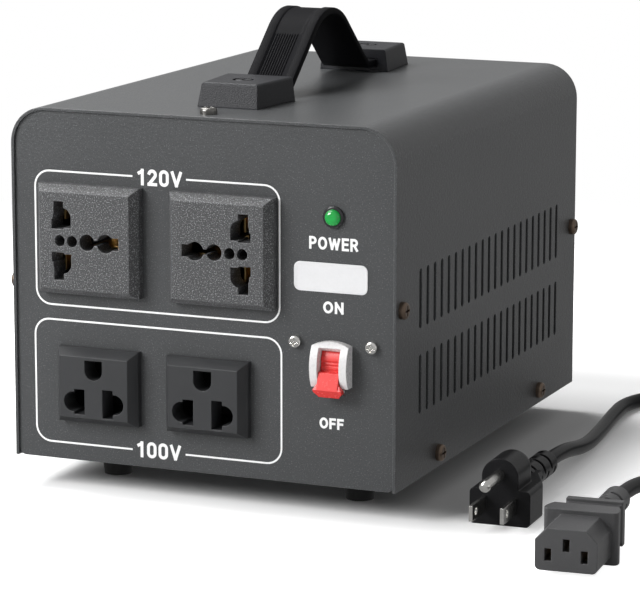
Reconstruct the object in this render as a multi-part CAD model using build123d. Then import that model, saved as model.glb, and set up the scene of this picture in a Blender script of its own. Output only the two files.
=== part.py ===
from build123d import *
import math
import os

# Travel voltage converter, in millimetres. X is to the right of the front, Y runs to the back, Z is up
# and the floor is at zero.

# Case
CASE_WIDTH = 168.0
CASE_DEPTH = 221.0
CASE_HEIGHT = 145.0
CASE_TOP_RADIUS = 15.0
SHEET = 1.2
PANEL_SHEET = 1.5
PANEL_RECESS = 1.0
PANEL_CORNER_RADIUS = 3.0
FLANGE_DEPTH = 12.0
FLANGE_END_GAP = 4.0
FOOT_HEIGHT = 13.0
FRONT_Y = -109.0
REAR_Y = FRONT_Y + CASE_DEPTH
HALF_WIDTH = CASE_WIDTH / 2
BASE_Z = FOOT_HEIGHT
TOP_Z = BASE_Z + CASE_HEIGHT
INNER_HALF_WIDTH = HALF_WIDTH - SHEET
PANEL_FRONT_Y = FRONT_Y + PANEL_RECESS
PANEL_BACK_Y = PANEL_FRONT_Y + PANEL_SHEET
REAR_PANEL_OUT_Y = REAR_Y - PANEL_RECESS
REAR_PANEL_IN_Y = REAR_PANEL_OUT_Y - PANEL_SHEET
BASE_TOP_Z = BASE_Z + PANEL_SHEET
MIDDLE_Y = (FRONT_Y + REAR_Y) / 2

# Side slots
SLOT_COUNT = 22
SLOT_END_INSET = 26.5
SLOT_PITCH = (CASE_DEPTH - 2 * SLOT_END_INSET) / (SLOT_COUNT - 1)
SLOT_WIDTH = 3.0
SLOT_LENGTH = 24.3
SLOT_ROW_HEIGHTS = (38.85, 73.65)

# Fasteners
CASE_SCREW_HEAD_RADIUS = 3.5
CASE_SCREW_HEAD_HEIGHT = 2.6
CASE_SCREW_SHANK_RADIUS = 1.75
CASE_SCREW_LENGTH = 7.0
SCREW_CLEARANCE = 0.25
DRIVE_WIDTH = 0.9
DRIVE_SHARE = 0.62
DRIVE_DEPTH = 1.2
SIDE_SCREW_INSET = 5.75
BASE_SCREW_SPREAD = 62.5
BASE_SCREW_HEIGHT = 6.0
TOP_SCREW_INSET = 9.0

# Feet
FOOT_INSET_X = 29.3
FOOT_INSET_Y = 35.5
FOOT_TOP_RADIUS = 7.25
FOOT_BOTTOM_RADIUS = 5.85
FOOT_BORE_RADIUS = 3.4
FOOT_FLOOR_THICKNESS = 5.0
FOOT_SCREW_HEAD_HEIGHT = 2.0
FOOT_SCREW_HEAD_RADIUS = 3.0
FOOT_SCREW_SHANK_RADIUS = 1.6

# Socket mouldings stand in front of the panel and pass through it
FACE_NECK_BEHIND = 1.0
SHELL_DEPTH = 20.0
SHELL_WALL = 1.5
UNIVERSAL_SIZE = 45.0
UNIVERSAL_BEVEL_IN = 2.6
UNIVERSAL_BEVEL_DEEP = 4.2
UNIVERSAL_PROUD = 6.5
UNIVERSAL_NECK = 39.0
UNIVERSAL_PLACE_SHARES = ((-0.5738, 1), (0.1238, -1))
UNIVERSAL_HEIGHT = 92.2
US_WIDTH = 36.0
US_HEIGHT_SIZE = 31.0
US_BEVEL_IN = 2.8
US_BEVEL_DEEP = 4.5
US_PROUD = 6.3
US_NECK_WIDTH = 30.0
US_NECK_HEIGHT = 28.0
US_PLACE_SHARES = (-0.5345, 0.0429)
US_HEIGHT = 32.3
CONTACT_SHEET = 0.8
CONTACT_TAIL = 9.0
CONTACT_TAIL_WIDTH = 4.8
UNIVERSAL_CENTRES = [(share * HALF_WIDTH, hand) for share, hand in UNIVERSAL_PLACE_SHARES]
US_CENTRES = [share * HALF_WIDTH for share in US_PLACE_SHARES]

# Holes in the socket faces, as (x low, x high, z low, z high) from the face's middle
PIN_HOLE_RADIUS = 2.3
PIN_HOLE_PLACES = (-10.9, -5.4)
EARTH_PLACE = 1.3
EARTH_RADIUS = 3.35
EARTH_OUTER_PLACE = 9.6
EARTH_OUTER_RADIUS = 3.8
EARTH_BRIDGE = (EARTH_PLACE, EARTH_OUTER_PLACE, -1.1, 1.1)
EARTH_BLADE = (EARTH_OUTER_PLACE, 15.4, -2.5, 2.5)
BLADE_HOLES = ((-13.6, -9.2, 4.8, 16.1), (-14.6, -11.3, 4.8, 8.8), (-13.0, -5.8, 5.4, 9.4))
BLADE_ROUND_PLACE = (-9.9, 9.4)
BLADE_ROUND_RADIUS = 4.1
US_GROUND_RADIUS = 3.95
US_GROUND_RISE = 7.25
US_GROUND_TOP = 11.4
US_BLADE_HOLES = ((-8.75, -4.05, -11.2, -0.8), (3.95, 8.65, -12.0, -0.2))
US_ROUND_SPREAD = 9.3
US_ROUND_DROP = 6.05

# Spring contacts behind the holes
BLADE_CLIP_PLACE = (-10.65, 10.4)
BLADE_CLIP_GAP = 6.1
BLADE_CLIP_SPAN = 7.0
EARTH_CLIP_PLACE = 6.0
EARTH_CLIP_GAP = 5.4
EARTH_CLIP_SPAN = 15.0
UNIVERSAL_CLIP_DEPTH = 17.5
US_CLIP_SPREAD = 7.0
US_CLIP_DROP = 5.4
US_CLIP_GAP = 2.6
US_CLIP_SPAN = 9.0
US_GROUND_CLIP_GAP = 3.6
US_GROUND_CLIP_SPAN = 5.0
US_CLIP_DEPTH = 7.5

# Power lamp, above the breaker
LAMP_HEIGHT = 108.5
LAMP_BEZEL_RADIUS = 4.4
LAMP_LENS_RADIUS = 3.25
LAMP_NECK_RADIUS = 3.9
LAMP_BEZEL_PROUD = 1.4
LAMP_PROUD = 3.5
LAMP_BEHIND = 12.0

# Breaker
BREAKER_SIDE_INSET = 26.65
BREAKER_X = HALF_WIDTH - BREAKER_SIDE_INSET
BREAKER_HEIGHT = 48.9
BREAKER_PIVOT_BEHIND = 10.0
BREAKER_NOSE_WIDTH = 15.7
BREAKER_NOSE_RADIUS = 15.5
BREAKER_NOSE_LOW = 41.05
BREAKER_NOSE_HIGH = 57.55
BREAKER_ARCH = 1.7
BREAKER_BODY_WIDTH = 17.5
BREAKER_BODY_HALF_HEIGHT = 35.0
BREAKER_BODY_DEPTH = 56.0
BREAKER_WINDOW_WIDTH = 9.3
BREAKER_LEVER_WIDTH = 8.9
BREAKER_DRUM_RADIUS = 11.9
BREAKER_DRUM_CLEARANCE = 0.3
BREAKER_TRUNNION_RADIUS = 2.0
BREAKER_TRUNNION_REACH = 2.0
BREAKER_TRUNNION_CLEARANCE = 0.05
BREAKER_VISOR_ANGLE = 31.0
BREAKER_TRAVEL = 36.0
PADDLE_WIDTH = 12.0
PADDLE_CHAMFER = 2.5
LEVER_ROOT_RADIUS = 11.0
LEVER_ROOT_ANGLES = (-6.0, -40.0)
LEVER_NECK = (14.3, -1.75)
PADDLE_TIP = ((16.5, -8.5), (14.0, -11.7), (12.4, -8.9))
FLARE = ((15.0, -5.6), (16.5, -8.5), (14.0, -11.7), (12.5, -10.1), (13.6, -8.2))
FLARE_TOP = -5.6
FLARE_WIDE = (-8.3, -9.4)
FLARE_LOW = -12.5
GROOVE_RADIUS = 0.8
GROOVE_ANGLES = (3.0, 9.0)
BREAKER_LUG_REACH = 5.0
BREAKER_LUG_HEIGHT = 10.0
BREAKER_LUG_THICKNESS = 2.0
BREAKER_STRAP_SHEET = 1.2
BREAKER_SCREW_SPREAD = 16.3
BREAKER_SCREW_HEIGHT = 57.8
BREAKER_SCREW_HEAD_RADIUS = 2.6
BREAKER_SCREW_HEAD_HEIGHT = 2.2
BREAKER_SCREW_SHANK_RADIUS = 1.25
BREAKER_SCREW_LENGTH = 6.0
PIVOT_Y = FRONT_Y + BREAKER_PIVOT_BEHIND
PIVOT_Z = BASE_Z + BREAKER_HEIGHT

# Carrying strap
STRAP_WIDTH = 21.6
STRAP_THICKNESS = 3.0
STRAP_APEX_RADIUS = 26.5
STRAP_ANGLE = 40.0
STRAP_FOOT_RADIUS = 7.0
STRAP_FOOT_RUN = 6.54
STRAP_END_ABOVE = 4.0
STRAP_LIP = 4.4
STRAP_RECESS = 0.5
CAP_LENGTH = 32.0
CAP_SCREW_GAP = 18.0
CAP_MOUTH_Y = CASE_DEPTH / 2 - TOP_SCREW_INSET - CAP_SCREW_GAP - CAP_LENGTH
STRAP_FOOT_Y = CAP_MOUTH_Y - STRAP_FOOT_RUN
CAP_MOUTH_WIDTH = 32.0
CAP_END_WIDTH = 26.4
CAP_HEIGHT = 9.8
CAP_LEAN = 2.5
CAP_TAPER = 1.2
CAP_EDGE_RADIUS = 1.2
CAP_WALL = 1.1
CAP_SCREW_FROM_END = 16.0
CAP_COUNTERBORE_RADIUS = 4.5
CAP_COUNTERBORE_DEPTH = 1.5
CAP_SCREW_HEAD_RADIUS = 3.6
CAP_SCREW_SHANK_RADIUS = 2.0
CAP_SCREW_BELOW = 5.0
TONGUE_LENGTH = 20.0
TONGUE_TRAVEL = 8.0
TONGUE_CLEARANCE = 0.3

# Back panel fittings
INLET_PLACE_SHARE = -0.4762
INLET_X = INLET_PLACE_SHARE * HALF_WIDTH
INLET_HEIGHT = 45.0
INLET_FLANGE_WIDTH = 50.0
INLET_FLANGE_HEIGHT = 27.0
INLET_FLANGE_THICKNESS = 3.0
INLET_BODY_WIDTH = 28.0
INLET_BODY_HEIGHT = 21.0
INLET_RECESS_WIDTH = 24.6
INLET_RECESS_HEIGHT = 16.6
INLET_RECESS_DEPTH = 17.0
INLET_RECESS_CHAMFER = 4.5
INLET_BODY_DEPTH = 24.0
INLET_SCREW_SPREAD = 20.0
INLET_PIN_SPREAD = 7.0
INLET_PIN_OFFSET = 2.0
INLET_PIN_THICKNESS = 2.0
INLET_PIN_HEIGHT = 4.0
INLET_PIN_SET_BACK = 2.0
INLET_TAIL = 10.0
SELECTOR_PLACE_SHARE = 0.3571
SELECTOR_X = SELECTOR_PLACE_SHARE * HALF_WIDTH
SELECTOR_HEIGHT = 45.0
SELECTOR_PLATE_WIDTH = 36.0
SELECTOR_PLATE_HEIGHT = 16.0
SELECTOR_PLATE_THICKNESS = 1.0
SELECTOR_BODY_WIDTH = 24.0
SELECTOR_BODY_HEIGHT = 12.0
SELECTOR_BODY_DEPTH = 13.0
SELECTOR_WINDOW_WIDTH = 11.3
SELECTOR_WINDOW_HEIGHT = 6.2
SELECTOR_KNOB_WIDTH = 6.0
SELECTOR_KNOB_HEIGHT = 6.0
SELECTOR_TRAVEL = 5.0
SELECTOR_POCKET_DEPTH = 6.0
SELECTOR_KNOB_PROUD = 2.0
SELECTOR_SCREW_SPREAD = 14.3
SELECTOR_NOTCH_WIDTH = 1.5
SELECTOR_NOTCH_DEPTH = 1.0
SMALL_SCREW_HEAD_RADIUS = 2.4
SMALL_SCREW_HEAD_HEIGHT = 1.6
SMALL_SCREW_SHANK_RADIUS = 1.25
SMALL_SCREW_LENGTH = 7.0

# Transformer. Its winding fills the smaller of its room between the end fittings and its room across
WINDING_INNER_SHARE = 0.3077
WINDING_HEIGHT = 62.0
WINDING_THICKNESS = 6.0
WINDING_EDGE_RADIUS = 9.0
PAD_EDGE_GAP = 7.0
PAD_HOLE_RADIUS = 8.0
PAD_THICKNESS = 3.0
WASHER_EDGE_GAP = 19.0
WASHER_SHEET = 2.0
WASHER_DISH_RADIUS = 16.0
WASHER_DISH_DEPTH = 1.0
BOLT_RADIUS = 4.0
BOLT_HEAD_ACROSS = 13.0
BOLT_HEAD_HEIGHT = 5.3
BOLT_ABOVE_NUT = 4.0
NUT_HEIGHT = 6.5
TERMINAL_WIDTH = 64.0
TERMINAL_DEPTH = 17.0
TERMINAL_HEIGHT = 16.0
TERMINAL_BEHIND_PANEL = 39.5
TERMINAL_Y = PANEL_BACK_Y + TERMINAL_BEHIND_PANEL
TERMINAL_WAYS = 6
TERMINAL_HOLE_RADIUS = 2.2
TRANSFORMER_FRONT_GAP = 5.5
TRANSFORMER_REAR_GAP = 3.0
TRANSFORMER_SIDE_GAP = 17.8
TRANSFORMER_FRONT_Y = TERMINAL_Y + TERMINAL_DEPTH / 2 + TRANSFORMER_FRONT_GAP
INLET_TAIL_Y = REAR_PANEL_OUT_Y + INLET_FLANGE_THICKNESS - INLET_BODY_DEPTH - INLET_TAIL
TRANSFORMER_REAR_Y = INLET_TAIL_Y - TRANSFORMER_REAR_GAP
TOROID_Y = (TRANSFORMER_FRONT_Y + TRANSFORMER_REAR_Y) / 2
TRANSFORMER_ROOM = TRANSFORMER_REAR_Y - TRANSFORMER_FRONT_Y
WINDING_OUTER_RADIUS = min(TRANSFORMER_ROOM / 2, INNER_HALF_WIDTH - TRANSFORMER_SIDE_GAP)
WINDING_INNER_RADIUS = WINDING_INNER_SHARE * WINDING_OUTER_RADIUS
PAD_RADIUS = WINDING_OUTER_RADIUS - PAD_EDGE_GAP
WASHER_RADIUS = WINDING_OUTER_RADIUS - WASHER_EDGE_GAP

# Loose lead
CORD_RADIUS = 3.2
CORD_LIFT = 0.1
CORD_REST = CORD_RADIUS + CORD_LIFT
PLUG_FACE = (121.6, -92.0)
PLUG_HEADING = 92.0
PLUG_LENGTH = 36.0
PLUG_WIDTH = 25.0
PLUG_HEIGHT = 27.0
PLUG_CROWN_RADIUS = 7.5
PLUG_CROWN_LENGTH = 23.5
PLUG_SHOULDER_HEIGHT = 14.5
PLUG_CORNER = 1.8
PLUG_REAR_WIDTH = 13.0
PLUG_REAR_BOTTOM = 4.0
PLUG_SQUARE_LENGTH = 17.0
PLUG_TAPER_LENGTH = 31.0
PLUG_AXIS_HEIGHT = 11.0
RELIEF_LENGTH = 26.0
RELIEF_RADIUS = 5.4
RELIEF_ROOT = 3.0
RELIEF_PITCH = 4.6
RELIEF_WINDOW_LENGTH = 8.2
RELIEF_WINDOW_WIDTH = 2.2
RELIEF_WINDOW_DEPTH = 1.7
RELIEF_WINDOW_ANGLE = 45.0
RELIEF_END_ROUND = 0.8
BLADE_LENGTH = 17.5
BLADE_HEIGHT = 6.35
BLADE_THICKNESS = 1.5
BLADE_SPREAD = 6.35
BLADE_AXIS_HEIGHT = 8.5
BLADE_HOLE_RADIUS = 1.6
BLADE_HOLE_FROM_TIP = 4.5
BLADE_ROOT = 8.0
GROUND_PIN_RADIUS = 2.4
GROUND_PIN_LENGTH = 21.0
GROUND_PIN_ABOVE = 11.9
GROUND_PIN_ROUND = 1.9
CONNECTOR_FACE = (169.0, -152.0)
CONNECTOR_HEADING = 94.0
NOSE_WIDTH = 24.0
NOSE_HEIGHT = 16.3
NOSE_LENGTH = 21.0
NOSE_CHAMFER = 4.5
NOSE_LIFT = 2.0
NOSE_CORNER = 2.0
GRIP_LENGTH = 26.0
GRIP_WIDTH = 29.0
GRIP_HEIGHT = 20.3
GRIP_CORNER = 2.0
GRIP_SQUARE_LENGTH = 4.0
GRIP_SHOULDER = (12.9, 9.4)
GRIP_WAIST_START = (9.7, 14.2)
GRIP_WAIST = (9.0, 18.4)
GRIP_LIP = (11.2, 22.4)
GRIP_FLAT_LENGTH = 10.0
GRIP_WAIST_HEIGHT = 14.6
GRIP_LIP_HEIGHT = 17.4
GRIP_LIP_LENGTH = 3.6
CONNECTOR_RELIEF_LENGTH = 34.0
CONNECTOR_SLOT_SPREAD = 7.0
CONNECTOR_SLOT_WIDTH = 2.6
CONNECTOR_SLOT_HEIGHT = 4.8
CONNECTOR_SLOT_DEPTH = 17.0
CONNECTOR_SLOT_RISE = 2.0
CONNECTOR_SLEEVE_LENGTH = 6.8
COIL_CENTRE = (178.5, 101.0)
COIL_MIDDLE_RADIUS = 37.5
COIL_PITCH = 7.0
COIL_START_ANGLE = 60.0
COIL_TURNS = 3.25
COIL_LAYER_STEP = 7.0
COIL_CLIMB_ANGLE = 180.0
COIL_ARC_ANGLE = 90.0
COIL_END_LENGTH = 2 * CORD_RADIUS
COIL_LEAD_IN = 26.0
COIL_LEAD_OUT = 22.0
PLUG_STRAIGHT = 22.0
PLUG_RUN_POINTS = (
    (118.2, 26.0, 5.0),
    (113.6, 62.0, CORD_REST),
    (109.5, 92.0, CORD_REST),
    (107.0, 121.0, CORD_REST),
    (121.8, 144.6, CORD_REST),
    (146.1, 156.4, CORD_REST),
)
CONNECTOR_STRAIGHT = 24.0
CONNECTOR_RUN_POINTS = ((188.0, 18.0, CORD_REST), (168.5, -16.0, 5.5))
ARC_RUN_SHARE = 0.45
TIE_THICKNESS = 0.8
TIE_WIDTH = 9.0
TIE_ANGLE = 200.0
TIE_CLEARANCE = 0.1
TIE_INNER_SLACK = 0.6
COIL_REST = CORD_RADIUS + TIE_THICKNESS + TIE_CLEARANCE


def block(low, high):
    """A box between two corners."""
    size = [b - a for a, b in zip(low, high)]
    middle = [(a + b) / 2 for a, b in zip(low, high)]
    return Pos(*middle) * Box(*size)


def rod(radius, start, direction, length):
    """A round bar from a point along a direction."""
    place = Plane(origin=start, z_dir=direction).location
    return place * Cylinder(radius, length, align=(Align.CENTER, Align.CENTER, Align.MIN))


def outline_along_y(points, y_from, length):
    """Extrudes an outline of (x, z) points along Y."""
    face = make_face(Polyline(*[(x, y_from, z) for x, z in points], close=True))
    return extrude(face, amount=length, dir=(0, 1, 0))


def outline_along_x(points, x_from, length):
    """Extrudes an outline of (y, z) points along X."""
    face = make_face(Polyline(*[(x_from, y, z) for y, z in points], close=True))
    return extrude(face, amount=length, dir=(1, 0, 0))


def screw(place, head_radius, head_height, shank_radius, length):
    """A domed screw with a cross drive, whose head rests on the plane of its place."""
    head = Cylinder(head_radius, head_height, align=(Align.CENTER, Align.CENTER, Align.MIN))
    head = fillet(head.edges().sort_by(Axis.Z)[-1], head_height / 2)
    drive = head_radius * 2 * DRIVE_SHARE
    slot = Box(drive, DRIVE_WIDTH, DRIVE_DEPTH, align=(Align.CENTER, Align.CENTER, Align.MAX))
    slot = slot + Rot(Z=90) * slot
    shank = Cylinder(shank_radius, length, align=(Align.CENTER, Align.CENTER, Align.MAX))
    return place * (head - Pos(Z=head_height) * slot + shank)


def facing(origin, outward):
    return Plane(origin=origin, z_dir=outward).location


SIDE_SCREW_Z = BASE_Z + CASE_HEIGHT / 2
SIDE_SCREW_PLACES = [
    (FRONT_Y + SIDE_SCREW_INSET, SIDE_SCREW_Z),
    (REAR_Y - SIDE_SCREW_INSET, SIDE_SCREW_Z),
    (MIDDLE_Y - BASE_SCREW_SPREAD, BASE_Z + BASE_SCREW_HEIGHT),
    (MIDDLE_Y + BASE_SCREW_SPREAD, BASE_Z + BASE_SCREW_HEIGHT),
]
TOP_SCREW_PLACES = [FRONT_Y + TOP_SCREW_INSET, REAR_Y - TOP_SCREW_INSET]
STRAP_SCREW_PLACES = [
    MIDDLE_Y - CAP_MOUTH_Y - CAP_LENGTH + CAP_SCREW_FROM_END,
    MIDDLE_Y + CAP_MOUTH_Y + CAP_LENGTH - CAP_SCREW_FROM_END,
]
FOOT_PLACES = {
    "front_left": (FOOT_INSET_X - HALF_WIDTH, FRONT_Y + FOOT_INSET_Y),
    "front_right": (HALF_WIDTH - FOOT_INSET_X, FRONT_Y + FOOT_INSET_Y),
    "rear_left": (FOOT_INSET_X - HALF_WIDTH, REAR_Y - FOOT_INSET_Y),
    "rear_right": (HALF_WIDTH - FOOT_INSET_X, REAR_Y - FOOT_INSET_Y),
}


# Cover

def arch(half_width, top, radius, y_from, length):
    """A slab with two rounded top corners, from the case bottom up."""
    slab = block((-half_width, y_from, BASE_Z), (half_width, y_from + length, top))
    corners = slab.edges().filter_by(Axis.Y).group_by(Axis.Z)[-1]
    return fillet(corners, radius)


def slot_cutter(y, height):
    """One rounded slot right through the case from side to side."""
    outline = Pos(y, BASE_Z + height) * SlotOverall(SLOT_LENGTH, SLOT_WIDTH, 90)
    return extrude(Plane.YZ.offset(-CASE_WIDTH) * outline, amount=2 * CASE_WIDTH)


def make_cover():
    shell = arch(HALF_WIDTH, TOP_Z, CASE_TOP_RADIUS, FRONT_Y, CASE_DEPTH)
    shell -= arch(INNER_HALF_WIDTH, TOP_Z - SHEET, CASE_TOP_RADIUS - SHEET, FRONT_Y, CASE_DEPTH)
    first = MIDDLE_Y - SLOT_PITCH * (SLOT_COUNT - 1) / 2
    slots = [slot_cutter(first + SLOT_PITCH * n, h) for n in range(SLOT_COUNT) for h in SLOT_ROW_HEIGHTS]
    hole = CASE_SCREW_SHANK_RADIUS + SCREW_CLEARANCE
    holes = [rod(hole, (-CASE_WIDTH, y, z), (1, 0, 0), 2 * CASE_WIDTH) for y, z in SIDE_SCREW_PLACES]
    holes += [rod(hole, (0, y, TOP_Z - FLANGE_DEPTH), (0, 0, 1), CASE_WIDTH) for y in TOP_SCREW_PLACES]
    shank = CAP_SCREW_SHANK_RADIUS
    holes += [rod(shank, (0, y, TOP_Z - FLANGE_DEPTH), (0, 0, 1), CASE_WIDTH) for y in STRAP_SCREW_PLACES]
    return shell - slots - holes


# Base pan, with a lip along each side and each end

def make_base_pan():
    front = PANEL_BACK_Y
    rear = REAR_PANEL_IN_Y
    side_front = front + FLANGE_DEPTH
    side_rear = rear - FLANGE_DEPTH
    top = BASE_TOP_Z + FLANGE_DEPTH
    pan = block((-INNER_HALF_WIDTH, front, BASE_Z), (INNER_HALF_WIDTH, rear, BASE_TOP_Z))
    for side in (-1, 1):
        edge = side * INNER_HALF_WIDTH
        near = side * (INNER_HALF_WIDTH - PANEL_SHEET)
        pan += block((min(edge, near), side_front, BASE_Z), (max(edge, near), side_rear, top))
    reach = INNER_HALF_WIDTH - FLANGE_DEPTH
    pan += block((-reach, front, BASE_Z), (reach, front + PANEL_SHEET, top))
    pan += block((-reach, rear - PANEL_SHEET, BASE_Z), (reach, rear, top))
    for y, z in SIDE_SCREW_PLACES[2:]:
        pan -= rod(CASE_SCREW_SHANK_RADIUS, (-CASE_WIDTH, y, z), (1, 0, 0), 2 * CASE_WIDTH)
    for x, y in FOOT_PLACES.values():
        pan -= rod(FOOT_SCREW_SHANK_RADIUS, (x, y, 0), (0, 0, 1), TOP_Z)
    return pan - rod(BOLT_RADIUS, (0, TOROID_Y, 0), (0, 0, 1), TOP_Z)


# Panels: a plate with a return flange up each side and along the top

def make_panel(outer_y, inward):
    """A panel whose outer face is at outer_y, with its flanges on the inward side."""
    inner_y = outer_y + inward * PANEL_SHEET
    flange_y = inner_y + inward * FLANGE_DEPTH
    low, high = min(outer_y, inner_y), max(outer_y, inner_y)
    plate = arch(INNER_HALF_WIDTH, TOP_Z - SHEET, CASE_TOP_RADIUS - SHEET, low, high - low)
    bottom = plate.edges().filter_by(Axis.Y).group_by(Axis.Z)[0]
    plate = fillet(bottom, PANEL_CORNER_RADIUS)
    low, high = min(inner_y, flange_y), max(inner_y, flange_y)
    side_low = BASE_TOP_Z + FLANGE_DEPTH + FLANGE_END_GAP
    side_high = TOP_Z - CASE_TOP_RADIUS - FLANGE_END_GAP
    for side in (-1, 1):
        edge = side * INNER_HALF_WIDTH
        near = side * (INNER_HALF_WIDTH - PANEL_SHEET)
        plate += block((min(edge, near), low, side_low), (max(edge, near), high, side_high))
    reach = HALF_WIDTH - CASE_TOP_RADIUS - FLANGE_END_GAP
    plate += block((-reach, low, TOP_Z - SHEET - PANEL_SHEET), (reach, high, TOP_Z - SHEET))
    for y, z in SIDE_SCREW_PLACES[:2]:
        plate -= rod(CASE_SCREW_SHANK_RADIUS, (-CASE_WIDTH, y, z), (1, 0, 0), 2 * CASE_WIDTH)
    for y in TOP_SCREW_PLACES:
        plate -= rod(CASE_SCREW_SHANK_RADIUS, (0, y, TOP_Z - FLANGE_DEPTH), (0, 0, 1), CASE_WIDTH)
    return plate


def make_front_panel():
    panel = make_panel(PANEL_FRONT_Y, 1)
    back = PANEL_FRONT_Y - PANEL_SHEET
    through = 3 * PANEL_SHEET
    for x, _ in UNIVERSAL_CENTRES:
        panel -= centred_block(x, BASE_Z + UNIVERSAL_HEIGHT, UNIVERSAL_NECK, UNIVERSAL_NECK, back, through)
    for x in US_CENTRES:
        panel -= centred_block(x, BASE_Z + US_HEIGHT, US_NECK_WIDTH, US_NECK_HEIGHT, back, through)
    panel -= rod(LAMP_NECK_RADIUS, (BREAKER_X, back, BASE_Z + LAMP_HEIGHT), (0, 1, 0), through)
    panel -= breaker_nose_block(back, through)
    drum_room = BREAKER_DRUM_RADIUS - 2 * BREAKER_DRUM_CLEARANCE
    panel -= centred_block(
        BREAKER_X, PIVOT_Z - drum_room / 2, BREAKER_WINDOW_WIDTH, drum_room, back, through
    )
    for side in (-1, 1):
        x = BREAKER_X + side * BREAKER_SCREW_SPREAD
        panel -= rod(BREAKER_SCREW_SHANK_RADIUS, (x, back, BASE_Z + BREAKER_SCREW_HEIGHT), (0, 1, 0), through)
    return panel


def make_rear_panel():
    panel = make_panel(REAR_PANEL_OUT_Y, -1)
    start = REAR_PANEL_IN_Y - PANEL_SHEET
    through = 3 * PANEL_SHEET
    z = BASE_Z + INLET_HEIGHT
    panel -= centred_block(INLET_X, z, INLET_BODY_WIDTH, INLET_BODY_HEIGHT, start, through)
    panel -= centred_block(SELECTOR_X, z, SELECTOR_BODY_WIDTH, SELECTOR_BODY_HEIGHT, start, through)
    for x in rear_screw_places():
        panel -= rod(SMALL_SCREW_SHANK_RADIUS, (x, start, z), (0, 1, 0), through)
    return panel


def rear_screw_places():
    inlet = [INLET_X + side * INLET_SCREW_SPREAD for side in (-1, 1)]
    return inlet + [SELECTOR_X + side * SELECTOR_SCREW_SPREAD for side in (-1, 1)]


def centred_block(x, z, width, height, y_from, length):
    """A block along Y round a centre in X and Z."""
    return block((x - width / 2, y_from, z - height / 2), (x + width / 2, y_from + length, z + height / 2))


# Case screws and feet

def make_side_screws(side):
    return [
        screw(
            facing((side * HALF_WIDTH, y, z), (side, 0, 0)),
            CASE_SCREW_HEAD_RADIUS,
            CASE_SCREW_HEAD_HEIGHT,
            CASE_SCREW_SHANK_RADIUS,
            CASE_SCREW_LENGTH,
        )
        for y, z in SIDE_SCREW_PLACES
    ]


def make_top_screws():
    return [
        screw(
            facing((0, y, TOP_Z), (0, 0, 1)),
            CASE_SCREW_HEAD_RADIUS,
            CASE_SCREW_HEAD_HEIGHT,
            CASE_SCREW_SHANK_RADIUS,
            CASE_SCREW_LENGTH,
        )
        for y in TOP_SCREW_PLACES
    ]


def make_foot(x, y):
    upright = (Align.CENTER, Align.CENTER, Align.MIN)
    foot = Pos(x, y) * Cone(FOOT_BOTTOM_RADIUS, FOOT_TOP_RADIUS, FOOT_HEIGHT, align=upright)
    foot -= rod(FOOT_BORE_RADIUS, (x, y, 0), (0, 0, 1), FOOT_HEIGHT - FOOT_FLOOR_THICKNESS)
    return foot - rod(FOOT_SCREW_SHANK_RADIUS, (x, y, 0), (0, 0, 1), FOOT_HEIGHT)


def make_foot_screws():
    head_z = FOOT_HEIGHT - FOOT_FLOOR_THICKNESS
    return [
        screw(
            facing((x, y, head_z), (0, 0, -1)),
            FOOT_SCREW_HEAD_RADIUS,
            FOOT_SCREW_HEAD_HEIGHT,
            FOOT_SCREW_SHANK_RADIUS,
            FOOT_FLOOR_THICKNESS + 2 * PANEL_SHEET,
        )
        for x, y in FOOT_PLACES.values()
    ]


# Sockets

def bevelled_plate(x, z, width, height, bevel_in, bevel_deep, proud, neck_width, neck_height):
    """A moulded plate with a bevelled rim, and a neck that fills the panel's hole."""
    front = FRONT_Y - proud
    plate = centred_block(x, z, width, height, front + bevel_deep, proud - bevel_deep + PANEL_RECESS)
    rim_y = front + bevel_deep
    wide = Plane(origin=(x, rim_y, z), x_dir=(1, 0, 0), z_dir=(0, -1, 0)) * Rectangle(width, height)
    narrow = Plane(origin=(x, front, z), x_dir=(1, 0, 0), z_dir=(0, -1, 0)) * Rectangle(
        width - 2 * bevel_in, height - 2 * bevel_in
    )
    neck = centred_block(x, z, neck_width, neck_height, PANEL_FRONT_Y, PANEL_SHEET + FACE_NECK_BEHIND)
    return plate + loft([wide, narrow], ruled=True) + neck


def round_hole(x, z, radius):
    return rod(radius, (x, FRONT_Y - CASE_HEIGHT / 2, z), (0, 1, 0), CASE_HEIGHT)


def square_hole(x, z, x_low, x_high, z_low, z_high):
    middle_x = x + (x_low + x_high) / 2
    middle_z = z + (z_low + z_high) / 2
    start = FRONT_Y - CASE_HEIGHT / 2
    return centred_block(middle_x, middle_z, x_high - x_low, z_high - z_low, start, CASE_HEIGHT)


def universal_holes(x, z, hand):
    """All the holes of one multi-standard socket. hand is 1, or -1 where it is turned round."""

    def square(x_one, x_two, z_one, z_two):
        left, right = sorted((hand * x_one, hand * x_two))
        return square_hole(x, z, left, right, min(z_one, z_two), max(z_one, z_two))

    holes = [round_hole(x + hand * place, z, PIN_HOLE_RADIUS) for place in PIN_HOLE_PLACES]
    holes.append(round_hole(x + hand * EARTH_PLACE, z, EARTH_RADIUS))
    holes.append(round_hole(x + hand * EARTH_OUTER_PLACE, z, EARTH_OUTER_RADIUS))
    holes += [square(*EARTH_BRIDGE), square(*EARTH_BLADE)]
    round_x, round_z = BLADE_ROUND_PLACE
    for way in (-1, 1):
        holes += [square(x_one, x_two, way * near, way * far) for x_one, x_two, near, far in BLADE_HOLES]
        holes.append(round_hole(x + hand * round_x, z + way * round_z, BLADE_ROUND_RADIUS))
    return holes


def make_universal_face(x, hand):
    z = BASE_Z + UNIVERSAL_HEIGHT
    plate = bevelled_plate(
        x, z, UNIVERSAL_SIZE, UNIVERSAL_SIZE, UNIVERSAL_BEVEL_IN, UNIVERSAL_BEVEL_DEEP, UNIVERSAL_PROUD,
        UNIVERSAL_NECK, UNIVERSAL_NECK,
    )
    return plate - universal_holes(x, z, hand)


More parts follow.
